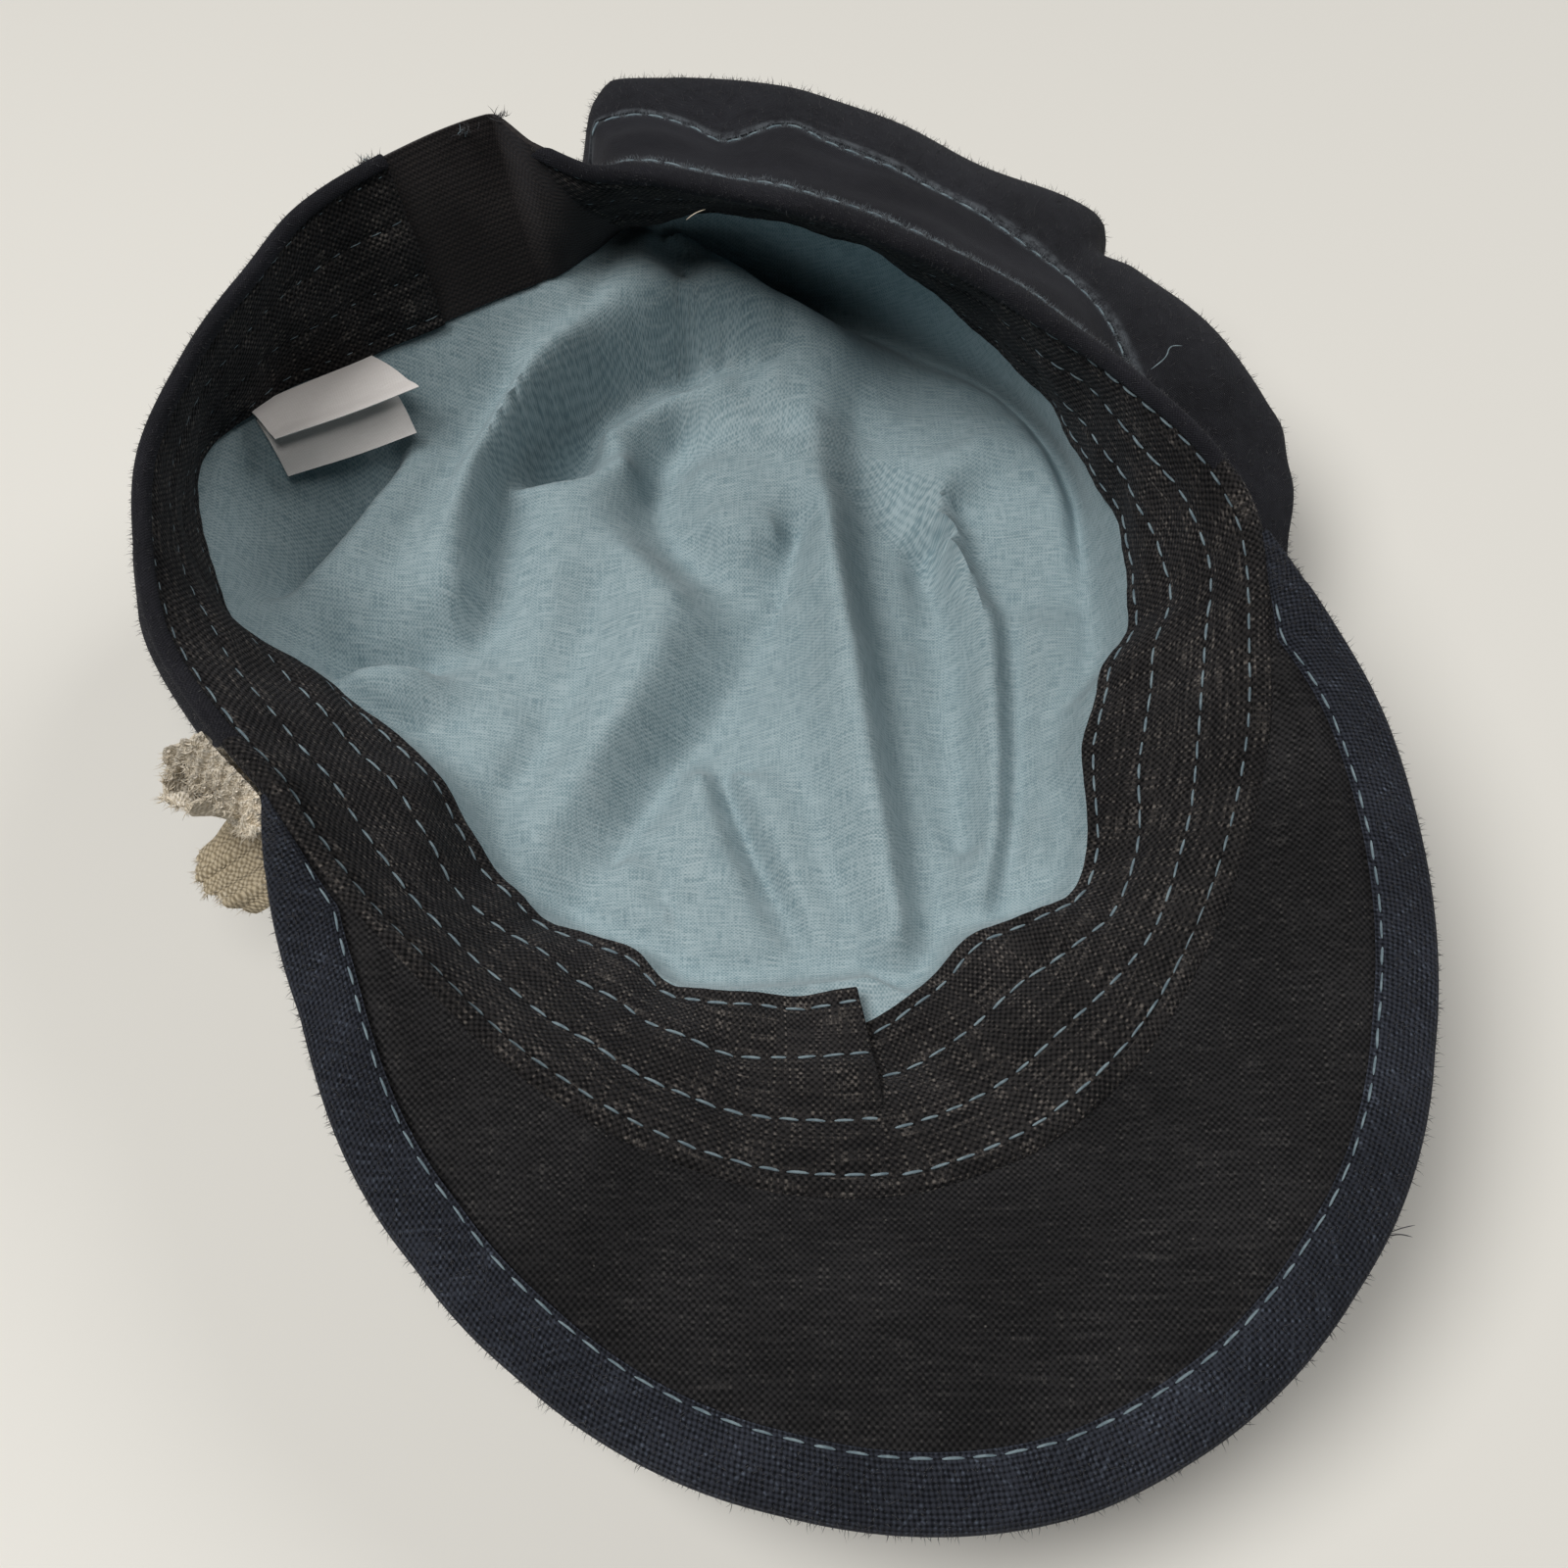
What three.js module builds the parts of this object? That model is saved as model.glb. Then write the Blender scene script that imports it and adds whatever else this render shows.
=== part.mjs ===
// A soft cadet cap lying upside down on its crown, inside up, with its peak towards -Y.
// Millimetres, +Z up. The origin is on the floor, under the middle of the head opening.
import * as THREE from "three";

// Cloth walls and the gap that sewn pieces keep
const CROWN_CLOTH = 1.2;
const LINING_CLOTH = 1.0;
const BAND_CLOTH = 1.4;
const SWEATBAND_CLOTH = 1.2;
const ELASTIC_CLOTH = 1.2;
const COVER_CLOTH = 1.2;
const UNDERSIDE_CLOTH = 1.0;
const BINDING_CLOTH = 1.0;
const LABEL_CLOTH = 1.0;
const ROSETTE_CLOTH = 1.2;
const SEAM_GAP = 0.35;

// Mesh steps
const BEARING_STEP = 5;
const BAND_ROWS = 3;
const SIDE_ROWS = 6;
const FLOOR_ROWS = 3;
const LINING_STEPS = 28;
const PEAK_COLUMNS = 36;
const PEAK_ROWS = 4;
const FOLD_STEPS = 48;

// The two ends of the elastic: the left seam, and the right end that slants as the band twists over it
const FULL_TURN = 360;
const ELASTIC_LEFT = -158;
const ELASTIC_RIGHT = 187;
const ELASTIC_SLANT = 11;
const END_GAP_DEGREES = 0.3;

// The peak: its ends on the rim, its depth at the middle, how much deeper it lies on the right, and the
// height of its outer edge
const PEAK_LEFT = -79;
const PEAK_RIGHT = 75;
const PEAK_DEPTH = 50;
const PEAK_SKEW = 0.05;
const PEAK_FULLNESS = 1.48;
const PEAK_TIP_HEIGHT = 30;
const PEAK_END_HEIGHT = 57;
const PEAK_LIFT = 1.6;
const PEAK_END_SHARE = 0.92;
const PEAK_CAMBER = 2.5;
const HEM_WIDTH = 8;
const PEAK_HEM_MOST = 0.85;
const BINDING_HALF = (UNDERSIDE_CLOTH + COVER_CLOTH + 3 * SEAM_GAP) / 2;
const PEAK_INSET = BINDING_HALF + BINDING_CLOTH;

// The tuck in the sweatband: its bearing, its spread to the left and how far its flap stands up
const TUCK_BEARING = 1;
const TUCK_SPREAD = 15;
const TUCK_DROP = 1.5;
const TUCK_RISE = 1.3;

// The lining's level at the middle, its lowest level, and the shares of it that belly out and stay at the hem
const LINING_FLOOR = 4;
const LINING_LOWEST = 3;
const BELLY_SHARE = 0.6;
const HEM_SHARE = 0.2;

// Sections round the rim. Bearing 0 is the tip of the peak, and bearings grow towards +X.
// The hem is the free lower edge of the sweatband.
const RIM_COLUMNS = ["bearing", "rimRadius", "rimHeight", "hemRadius", "hemHeight"];
const RIM_ROWS = [
  [-173, 94, 76, 92, 46],
  [-170.5, 103, 78, 92, 46],
  [-159, 102, 79, 93, 46],
  [-148, 103, 78, 98, 45],
  [-137, 101, 76, 107, 46],
  [-127, 101, 74, 110, 44],
  [-117, 102, 71, 103, 41],
  [-107, 100, 68, 91, 38],
  [-98, 98, 64, 75, 36],
  [-86, 92, 60, 64, 31],
  [-77, 88, 56, 62, 26],
  [-60, 88, 46, 63, 20],
  [-40, 93, 36, 61, 19],
  [-31, 96, 32, 65, 20],
  [-16, 101, 27, 64, 20],
  [-3, 103, 25, 65, 20],
  [3, 103, 25, 70, 19],
  [15, 101, 27, 66, 20],
  [29, 96, 31, 72, 21],
  [43, 92, 38, 67, 23],
  [53, 90, 43, 62, 26],
  [63, 88, 48, 63, 29],
  [74, 87, 55, 70, 31],
  [82, 83, 61, 72, 32],
  [97, 74, 66, 76, 34],
  [114, 68, 69, 81, 37],
  [133, 67, 71, 86, 45],
  [150, 70, 72, 93, 50],
  [168, 76, 73, 100, 50],
  [175, 80, 74, 101, 47],
  [181, 84, 74, 96, 46],
];

// Sections down the crown. The seam joins band and crown, the bulge is the crown's widest place, and the
// foot is where it meets the floor.
const CROWN_COLUMNS = ["bearing", "seamRadius", "seamHeight", "bulgeRadius", "bulgeHeight", "footRadius"];
const CROWN_ROWS = [
  [-171, 93, 45, 110, 34, 99],
  [-157, 94, 45, 112, 33, 100],
  [-142, 107, 43, 116, 33, 102],
  [-127, 113, 42, 123, 34, 105],
  [-114, 104, 38, 117, 30, 101],
  [-103, 86.5, 34, 103, 22, 93],
  [-92, 71, 30, 94, 18, 86],
  [-80, 66, 25, 93, 15, 85],
  [-65, 65, 20, 95, 12, 86],
  [-50, 66, 17, 96, 10, 87],
  [-25, 69, 16, 95, 9, 86],
  [0, 73, 16, 94, 8, 86],
  [25, 74, 16, 95, 9, 86],
  [45, 71, 19, 98, 11, 87],
  [62, 67, 25, 100, 16, 89],
  [76, 74, 29, 101, 22, 91],
  [90, 82, 36, 107, 28, 95],
  [98, 85, 41, 116, 31, 100],
  [113, 92, 48, 118, 36, 104],
  [121, 94, 52, 121, 39, 105],
  [127, 95, 53, 126, 39, 107],
  [138, 99, 56, 123, 46, 107],
  [148, 101, 58, 126, 50, 109],
  [158, 105, 61, 130, 54, 111],
  [168, 107, 61, 134, 56, 112],
  [175, 109, 60, 133, 56, 111],
  [182, 99, 50, 118, 42, 103],
];

// How the lining leaves the hem: how far it bellies out under it, and how steeply it falls to the floor
const LINING_COLUMNS = ["bearing", "belly", "fall"];
const LINING_ROWS = [
  [-175, 0, 3],
  [-150, -2, 2.6],
  [-125, -2, 2.6],
  [-108, 0, 3.2],
  [-80, 2, 5],
  [0, 2, 6],
  [60, 2, 6],
  [85, 6, 6],
  [125, 14, 6],
  [150, 14, 7],
  [170, 8, 5],
];

// Pleats of the crown's side: where they lie, how wide and deep they are and how far they lean
const PLEAT_COLUMNS = ["bearing", "halfWidth", "depth", "lean"];
const PLEAT_ROWS = [
  [178, 5, 7, -6],
  [122, 6, 6, 8],
  [94, 6, 6, -6],
  [66, 8, 4, 5],
  [-66, 9, 4, -5],
  [-100, 7, 4, 6],
  [-140, 9, 3, -8],
];

// Folds of the lining: three points of the crest or crease, its rise, and its spread to the left and right
const FOLD_COLUMNS = ["x0", "y0", "x1", "y1", "x2", "y2", "rise", "left", "right"];
const FOLD_ROWS = [
  [-89, 37, -56, 66, -28, 88, -6, 12, 10],
  [-74, 31, -50, 56, 6, 91, 9, 12, 13],
  [-2, 86, -34, 68, -50, 34, -9, 12, 12],
  [-70, 28, -60, 28, -50, 22, 9, 11, 15],
  [-32, 61, -16, 58, 8, 56, 7, 12, 12],
  [-31, 58, -33, 20, -50, -22, 11, 14, 15],
  [18, 32, 9, -20, -1, -62, 11, 12, 17],
  [46, 46, 37, 10, 15, -54, 7, 12, 12],
  [60, 32, 57, 5, 36, -48, 6, 11, 11],
  [-20, -16, -15, -36, -12, -54, 5, 11, 11],
];

// Labels: the corners of each leaf, from its sewn edge to its free edge, and its bow
const LABEL_COLUMNS = ["name", "sewnLeft", "sewnRight", "freeLeft", "freeRight", "bow"];
const LABEL_ROWS = [
  ["label_front", [-73, 76, 44.3], [-51, 81.5, 43.6], [-67.5, 69, 42], [-42.5, 74.5, 41], 1.6],
  ["label_back", [-72, 74, 42.6], [-51, 79.5, 42], [-73, 63.5, 36], [-47, 69, 33.5], 0.6],
];
const LABEL_STEPS = 6;

// Rosette scraps: the bearing and share down the band of each one's foot, where it heads, and its size
const CURL = { bearing: -86, foot: 0.36, heading: -88, straight: 9, bend: 300, radius: 4.2, width: 12 };
const PETAL = { bearing: -79, foot: 0.46, heading: -84, reach: 25, width: 21, droop: 5 };
const ROSETTE_STEPS = 7;

// Colours of the cloths, from the photograph
const CLOTHS = {
  navy: new THREE.MeshStandardMaterial({ color: 0x23262f, roughness: 0.95 }),
  black: new THREE.MeshStandardMaterial({ color: 0x1b1b1f, roughness: 0.95 }),
  teal: new THREE.MeshStandardMaterial({ color: 0x8fb0b6, roughness: 0.9 }),
  elastic: new THREE.MeshStandardMaterial({ color: 0x201d1c, roughness: 0.8 }),
  bias: new THREE.MeshStandardMaterial({ color: 0x262c3a, roughness: 0.95 }),
  satin: new THREE.MeshStandardMaterial({ color: 0xd7c8c3, roughness: 0.45 }),
  linen: new THREE.MeshStandardMaterial({ color: 0xc8beaa, roughness: 0.95 }),
};

// Rows under named columns, as objects.
function table(columns, rows) {
  return rows.map((row) => Object.fromEntries(columns.map((name, i) => [name, row[i]])));
}

// A smooth curve round the cap through one column of a table, with no overshoot between its rows.
function around(rows, column) {
  const count = rows.length;
  const row = (i) => rows[(i + count) % count];
  const bearingOf = (i) => row(i).bearing + FULL_TURN * Math.floor(i / count);
  const rise = (i) => (row(i + 1)[column] - row(i)[column]) / (bearingOf(i + 1) - bearingOf(i));
  const slope = (i) => {
    const before = rise(i - 1);
    const after = rise(i);
    return before * after > 0 ? (2 * before * after) / (before + after) : 0;
  };
  return (bearing) => {
    const turned = rows[0].bearing + THREE.MathUtils.euclideanModulo(bearing - rows[0].bearing, FULL_TURN);
    let i = 0;
    while (i < count - 1 && bearingOf(i + 1) <= turned) i += 1;
    const span = bearingOf(i + 1) - bearingOf(i);
    const t = (turned - bearingOf(i)) / span;
    const start = row(i)[column];
    const change = row(i + 1)[column] - start;
    const ease = t * t * (3 - 2 * t);
    const leave = t * (1 - t) * (1 - t) * span * slope(i);
    const arrive = t * t * (t - 1) * span * slope(i + 1);
    return start + change * ease + leave + arrive;
  };
}

const RIM_SECTIONS = table(RIM_COLUMNS, RIM_ROWS);
const CROWN_SECTIONS = table(CROWN_COLUMNS, CROWN_ROWS);
const LINING_SECTIONS = table(LINING_COLUMNS, LINING_ROWS);
const PLEATS = table(PLEAT_COLUMNS, PLEAT_ROWS);
const FOLDS = table(FOLD_COLUMNS, FOLD_ROWS);
const LABELS = table(LABEL_COLUMNS, LABEL_ROWS);

const rimRadius = around(RIM_SECTIONS, "rimRadius");
const rimHeight = around(RIM_SECTIONS, "rimHeight");
const hemRadius = around(RIM_SECTIONS, "hemRadius");
const hemHeight = around(RIM_SECTIONS, "hemHeight");
const seamRadius = around(CROWN_SECTIONS, "seamRadius");
const seamHeight = around(CROWN_SECTIONS, "seamHeight");
const bulgeRadius = around(CROWN_SECTIONS, "bulgeRadius");
const bulgeHeight = around(CROWN_SECTIONS, "bulgeHeight");
const footRadius = around(CROWN_SECTIONS, "footRadius");
const liningBelly = around(LINING_SECTIONS, "belly");
const liningFall = around(LINING_SECTIONS, "fall");

// The place at a bearing, a radius from the middle and a height.
function place(bearing, radius, height) {
  const angle = THREE.MathUtils.degToRad(bearing);
  return new THREE.Vector3(radius * Math.sin(angle), -radius * Math.cos(angle), height);
}

// The shortest turn from one bearing to another.
function turnBetween(from, to) {
  return THREE.MathUtils.euclideanModulo(to - from + FULL_TURN / 2, FULL_TURN) - FULL_TURN / 2;
}

const mix = THREE.MathUtils.lerp;
const ramp = THREE.MathUtils.smoothstep;

// Points over a surface, a list for each column, from shares 0 to 1 along it and across it.
function pointGrid(columns, rows, point) {
  return Array.from({ length: columns + 1 }, (_, i) =>
    Array.from({ length: rows + 1 }, (_, j) => point(i / columns, j / rows)),
  );
}

// Unit normals of a point grid, from each point's neighbours. A wrapped grid closes on its first column.
function gridNormals(points, wraps) {
  const count = points.length;
  const column = (i) => (wraps ? points[(i + count) % count] : points[THREE.MathUtils.clamp(i, 0, count - 1)]);
  return points.map((list, i) =>
    list.map((_, j) => {
      const along = column(i + 1)[j].clone().sub(column(i - 1)[j]);
      const across = list[Math.min(j + 1, list.length - 1)].clone().sub(list[Math.max(j - 1, 0)]);
      return across.cross(along).normalize();
    }),
  );
}

// A point grid moved along its normals.
function shifted(points, directions, distance) {
  return points.map((list, i) => list.map((p, j) => p.clone().addScaledVector(directions[i][j], distance)));
}

// The closed solid between two point grids of the same size. A wrapped solid has no end edges, and a
// poled one closes its last row in a single point on each face.
function solidBetween(near, far, { wraps = false, pole = false } = {}) {
  const columns = near.length;
  const rows = near[0].length;
  const places = [];
  const keep = (p) => places.push(p.x, p.y, p.z) / 3 - 1;
  const numbered = (points) => {
    const tip = pole ? keep(points[0][rows - 1]) : null;
    return points.map((list) => list.map((p, j) => (pole && j === rows - 1 ? tip : keep(p))));
  };
  const front = numbered(near);
  const back = numbered(far);
  const faces = [];
  const triangle = (a, b, c) => {
    if (a !== b && b !== c && c !== a) faces.push(a, b, c);
  };
  const quad = (a, b, c, d) => {
    triangle(a, b, c);
    triangle(a, c, d);
  };
  const spans = wraps ? columns : columns - 1;
  for (let i = 0; i < spans; i += 1) {
    const k = (i + 1) % columns;
    for (let j = 0; j < rows - 1; j += 1) {
      quad(front[i][j], front[k][j], front[k][j + 1], front[i][j + 1]);
      quad(back[i][j], back[i][j + 1], back[k][j + 1], back[k][j]);
    }
    quad(front[i][0], back[i][0], back[k][0], front[k][0]);
    if (!pole) quad(front[i][rows - 1], front[k][rows - 1], back[k][rows - 1], back[i][rows - 1]);
  }
  if (!wraps) {
    const last = columns - 1;
    for (let j = 0; j < rows - 1; j += 1) {
      quad(front[0][j], front[0][j + 1], back[0][j + 1], back[0][j]);
      quad(front[last][j], back[last][j], back[last][j + 1], front[last][j + 1]);
    }
  }
  return outward(places, faces);
}

// Indexed geometry with its faces turned so that they point out.
function outward(places, faces) {
  const corner = (n) => new THREE.Vector3().fromArray(places, 3 * faces[n]);
  let volume = 0;
  for (let n = 0; n < faces.length; n += 3) volume += corner(n).dot(corner(n + 1).cross(corner(n + 2)));
  if (volume < 0) faces.reverse();
  return new THREE.BufferGeometry()
    .setAttribute("position", new THREE.Float32BufferAttribute(places, 3))
    .setIndex(faces);
}

// A sheet of cloth over a surface, between two distances along its normals.
function clothSheet(points, from, to, options = {}) {
  const directions = gridNormals(points, options.wraps);
  return solidBetween(shifted(points, directions, from), shifted(points, directions, to), options);
}

// Bearings round the whole cap, at even steps.
function bearingsRound() {
  const count = FULL_TURN / BEARING_STEP;
  return Array.from({ length: count }, (_, i) => -FULL_TURN / 2 + i * BEARING_STEP);
}

// The bearing where the bands begin or end, at a share of the way from the rim to the lower edge.
function bandEnd(across) {
  return ELASTIC_RIGHT - ELASTIC_SLANT * across;
}

// A strip of the headband from the rim to a lower edge, between two slanted end lines.
function stripGrid(start, end, rows, lowerEdge) {
  const columns = Math.ceil((end(0) - start(0)) / BEARING_STEP);
  return pointGrid(columns, rows, (along, across) => {
    const bearing = mix(start(across), end(across), along);
    const rim = place(bearing, rimRadius(bearing), rimHeight(bearing));
    return rim.lerp(lowerEdge(bearing), across);
  });
}

const seamPoint = (bearing) => place(bearing, seamRadius(bearing), seamHeight(bearing));
const hemPoint = (bearing) => place(bearing, hemRadius(bearing), hemHeight(bearing));
const leftEnd = () => ELASTIC_LEFT + END_GAP_DEGREES;
const rightEnd = (across) => bandEnd(across) - END_GAP_DEGREES;

// Outer headband, from the rim to the crown seam
function bandGeometry() {
  const points = stripGrid(leftEnd, rightEnd, BAND_ROWS, seamPoint);
  return clothSheet(points, 0, BAND_CLOTH);
}

// How far the flap of the front tuck stands up from the sweatband
function tuckRise(bearing, across) {
  const behind = TUCK_BEARING - bearing;
  const flap = behind > 0 ? 1 - ramp(behind, 0, TUCK_SPREAD) : 1 - ramp(-behind, 0, TUCK_DROP);
  return TUCK_RISE * flap * ramp(across, 0.2, 0.8);
}

// Inner headband, from the rim to its free hem
function sweatbandGeometry() {
  const points = stripGrid(leftEnd, rightEnd, BAND_ROWS, hemPoint);
  const directions = gridNormals(points, false);
  const raised = points.map((list, i) =>
    list.map((p, j) => {
      const across = j / BAND_ROWS;
      const along = i / (points.length - 1);
      const bearing = mix(leftEnd(), rightEnd(across), along);
      return p.clone().addScaledVector(directions[i][j], -SEAM_GAP - tuckRise(bearing, across));
    }),
  );
  return solidBetween(raised, shifted(raised, directions, -SWEATBAND_CLOTH));
}

// Plain elastic between the two ends of the bands
function elasticGeometry() {
  const start = (across) => bandEnd(across) - FULL_TURN;
  const columns = 6;
  const points = pointGrid(columns, BAND_ROWS, (along, across) => {
    const bearing = mix(start(across), ELASTIC_LEFT, along);
    const rim = place(bearing, rimRadius(bearing), rimHeight(bearing));
    return rim.lerp(hemPoint(bearing), across);
  });
  return clothSheet(points, ELASTIC_CLOTH / 2, -ELASTIC_CLOTH / 2);
}

// How far the crown's side is drawn in by its pleats, at a share of the way down it
function pleatDepth(bearing, down) {
  return PLEATS.reduce((sum, pleat) => {
    const off = Math.abs(turnBetween(pleat.bearing + pleat.lean * down, bearing)) / pleat.halfWidth;
    const shape = off < 1 ? 0.5 + 0.5 * Math.cos(Math.PI * off) : 0;
    return sum + pleat.depth * shape * Math.sin(Math.PI * Math.min(1, down));
  }, 0);
}

// A point on a curve that leaves one place in a section, reaches its widest place upright and lands level.
function sidePoint(start, lean, widest, foot, share) {
  const turnShare = 0.5;
  const upper = share < turnShare;
  const t = upper ? share / turnShare : (share - turnShare) / (1 - turnShare);
  const curve = upper
    ? new THREE.CubicBezierCurve(
        start,
        start.clone().add(lean),
        new THREE.Vector2(widest.x, mix(widest.y, start.y, 0.55)),
        widest,
      )
    : new THREE.CubicBezierCurve(
        widest,
        new THREE.Vector2(widest.x, mix(widest.y, foot.y, 0.55)),
        new THREE.Vector2(mix(foot.x, widest.x, 0.55), foot.y),
        foot,
      );
  return curve.getPoint(t);
}

// Where the crown's wall starts in a section, just past the band's lower edge
function crownStart(bearing) {
  const rim = new THREE.Vector2(rimRadius(bearing), rimHeight(bearing));
  const seam = new THREE.Vector2(seamRadius(bearing), seamHeight(bearing));
  const down = seam.clone().sub(rim).normalize();
  const out = new THREE.Vector2(-down.y, down.x);
  return seam.addScaledVector(out, BAND_CLOTH).addScaledVector(down, 2 * SEAM_GAP);
}

// Crown: one hollow wall from the band seam, round the bulge and across the floor
function crownGeometry() {
  const bearings = bearingsRound();
  const points = bearings.map((bearing) => {
    const start = crownStart(bearing);
    const widest = new THREE.Vector2(bulgeRadius(bearing), bulgeHeight(bearing));
    const foot = new THREE.Vector2(footRadius(bearing), 0);
    const lean = new THREE.Vector2(0.4 * (widest.x - start.x), -0.1 * (start.y - widest.y));
    const side = Array.from({ length: SIDE_ROWS + 1 }, (_, j) => {
      const down = j / SIDE_ROWS;
      const p = sidePoint(start, lean, widest, foot, down);
      return place(bearing, p.x - pleatDepth(bearing, down), p.y);
    });
    const floor = Array.from({ length: FLOOR_ROWS }, (_, j) =>
      place(bearing, foot.x * (1 - (j + 1) / FLOOR_ROWS), 0),
    );
    return [...side, ...floor];
  });
  const inner = shifted(points, crownNormals(points), -CROWN_CLOTH);
  return solidBetween(points, inner, { wraps: true, pole: true });
}

// The crown's outward directions, straight down on the part that lies on the floor
function crownNormals(points) {
  return gridNormals(points, true).map((list) =>
    list.map((direction, j) => (j >= SIDE_ROWS ? new THREE.Vector3(0, 0, -1) : direction)),
  );
}

// The height that one fold adds or takes away at a place on the lining's floor
function foldRise(fold, x, y) {
  const crest = new THREE.QuadraticBezierCurve(
    new THREE.Vector2(fold.x0, fold.y0),
    new THREE.Vector2(2 * fold.x1 - (fold.x0 + fold.x2) / 2, 2 * fold.y1 - (fold.y0 + fold.y2) / 2),
    new THREE.Vector2(fold.x2, fold.y2),
  );
  const here = new THREE.Vector2(x, y);
  let nearest = Infinity;
  let side = 0;
  let share = 0;
  for (let n = 0; n <= FOLD_STEPS; n += 1) {
    const t = n / FOLD_STEPS;
    const offset = here.clone().sub(crest.getPoint(t));
    if (offset.length() < nearest) {
      nearest = offset.length();
      side = crest.getTangent(t).cross(offset);
      share = t;
    }
  }
  const width = side > 0 ? fold.left : fold.right;
  const fade = Math.min(1, 4 * Math.min(share, 1 - share) + 0.35);
  return nearest < width ? fold.rise * fade * (0.5 + 0.5 * Math.cos((Math.PI * nearest) / width)) : 0;
}

// A place in the unit disc for a place in a square, so that a square mesh can fill a round outline
function squareToDisc(along, across) {
  const a = 2 * along - 1;
  const b = 2 * across - 1;
  const wide = Math.abs(a) > Math.abs(b);
  const radius = wide ? a : b;
  const share = radius === 0 ? 0 : (wide ? b : a) / radius;
  const angle = wide ? 45 * share : 90 - 45 * share;
  return { radius: Math.abs(radius), bearing: radius < 0 ? angle + FULL_TURN / 2 : angle };
}

// Where the lining hangs from, just past the sweatband's hem
function liningEdge(bearing) {
  const rim = new THREE.Vector2(rimRadius(bearing), rimHeight(bearing));
  const hem = new THREE.Vector2(hemRadius(bearing), hemHeight(bearing));
  const down = hem.clone().sub(rim).normalize();
  return hem.addScaledVector(down, 2 * SEAM_GAP);
}

// A place on the lining before its folds, at a share of the way from the middle to the hem
function liningPlace(bearing, share) {
  const edge = liningEdge(bearing);
  const belly = share > BELLY_SHARE ? Math.sin((Math.PI * (1 - share)) / (1 - BELLY_SHARE)) : 0;
  const radius = edge.x * share + liningBelly(bearing) * belly;
  return place(bearing, radius, mix(LINING_FLOOR, edge.y, share ** liningFall(bearing)));
}

// Lining: one crumpled hollow wall that hangs from the sweatband's hem and lies on the crown
function liningGeometry() {
  const points = pointGrid(LINING_STEPS, LINING_STEPS, (along, across) => {
    const { radius, bearing } = squareToDisc(along, across);
    const spot = liningPlace(bearing, radius);
    const rises = FOLDS.map((fold) => foldRise(fold, spot.x, spot.y));
    const crests = Math.hypot(...rises.map((rise) => Math.max(0, rise)));
    const creases = Math.hypot(...rises.map((rise) => Math.min(0, rise)));
    spot.z = Math.max(LINING_LOWEST, spot.z + (crests - creases) * ramp(1 - radius, 0, HEM_SHARE));
    return spot;
  });
  return clothSheet(points, 0, LINING_CLOTH);
}

// A place on the peak's middle surface: along it from end to end, and out from the seam to the edge
function peakPoint(along, out) {
  const span = PEAK_END_SHARE * (2 * along - 1);
  const bearing = mix(PEAK_LEFT, PEAK_RIGHT, (span + 1) / 2);
  const seam = place(bearing, rimRadius(bearing), rimHeight(bearing));
  const step = 1;
  const tangent = place(bearing + step, rimRadius(bearing + step), 0).sub(
    place(bearing - step, rimRadius(bearing - step), 0),
  );
  const away = new THREE.Vector3(tangent.y, -tangent.x, 0).normalize();
  const depth = PEAK_DEPTH * (1 + PEAK_SKEW * span) * (1 - Math.abs(span) ** PEAK_FULLNESS);
  const edge = seam.clone().addScaledVector(away, depth);
  edge.z = mix(PEAK_TIP_HEIGHT, PEAK_END_HEIGHT, Math.abs(span) ** PEAK_LIFT);
  const start = seam.clone().addScaledVector(away, BAND_CLOTH + SEAM_GAP);
  const reach = out * (1 - PEAK_INSET / start.distanceTo(edge));
  const camber = PEAK_CAMBER * (depth / PEAK_DEPTH) * Math.sin(Math.PI * out);
  return start.lerp(edge, reach).add(new THREE.Vector3(0, 0, camber));
}

// Peak's outer cloth with its stiffening, underneath as the cap lies
function peakCoverGeometry() {
  const points = pointGrid(PEAK_COLUMNS, PEAK_ROWS, peakPoint);
  return clothSheet(points, -SEAM_GAP - COVER_CLOTH, -SEAM_GAP);
}

// Peak's plain underside, on top as the cap lies
function peakUndersideGeometry() {
  const points = pointGrid(PEAK_COLUMNS, PEAK_ROWS, peakPoint);
  return clothSheet(points, 0, UNDERSIDE_CLOTH);
}

// The peak's upward direction at a place on it
function peakNormal(along, out) {
  const step = 0.01;
  const beside = peakPoint(along + step, out).sub(peakPoint(along - step, out));
  const ahead = peakPoint(along, out + step).sub(peakPoint(along, out - step));
  return ahead.cross(beside).normalize();
}

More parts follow.
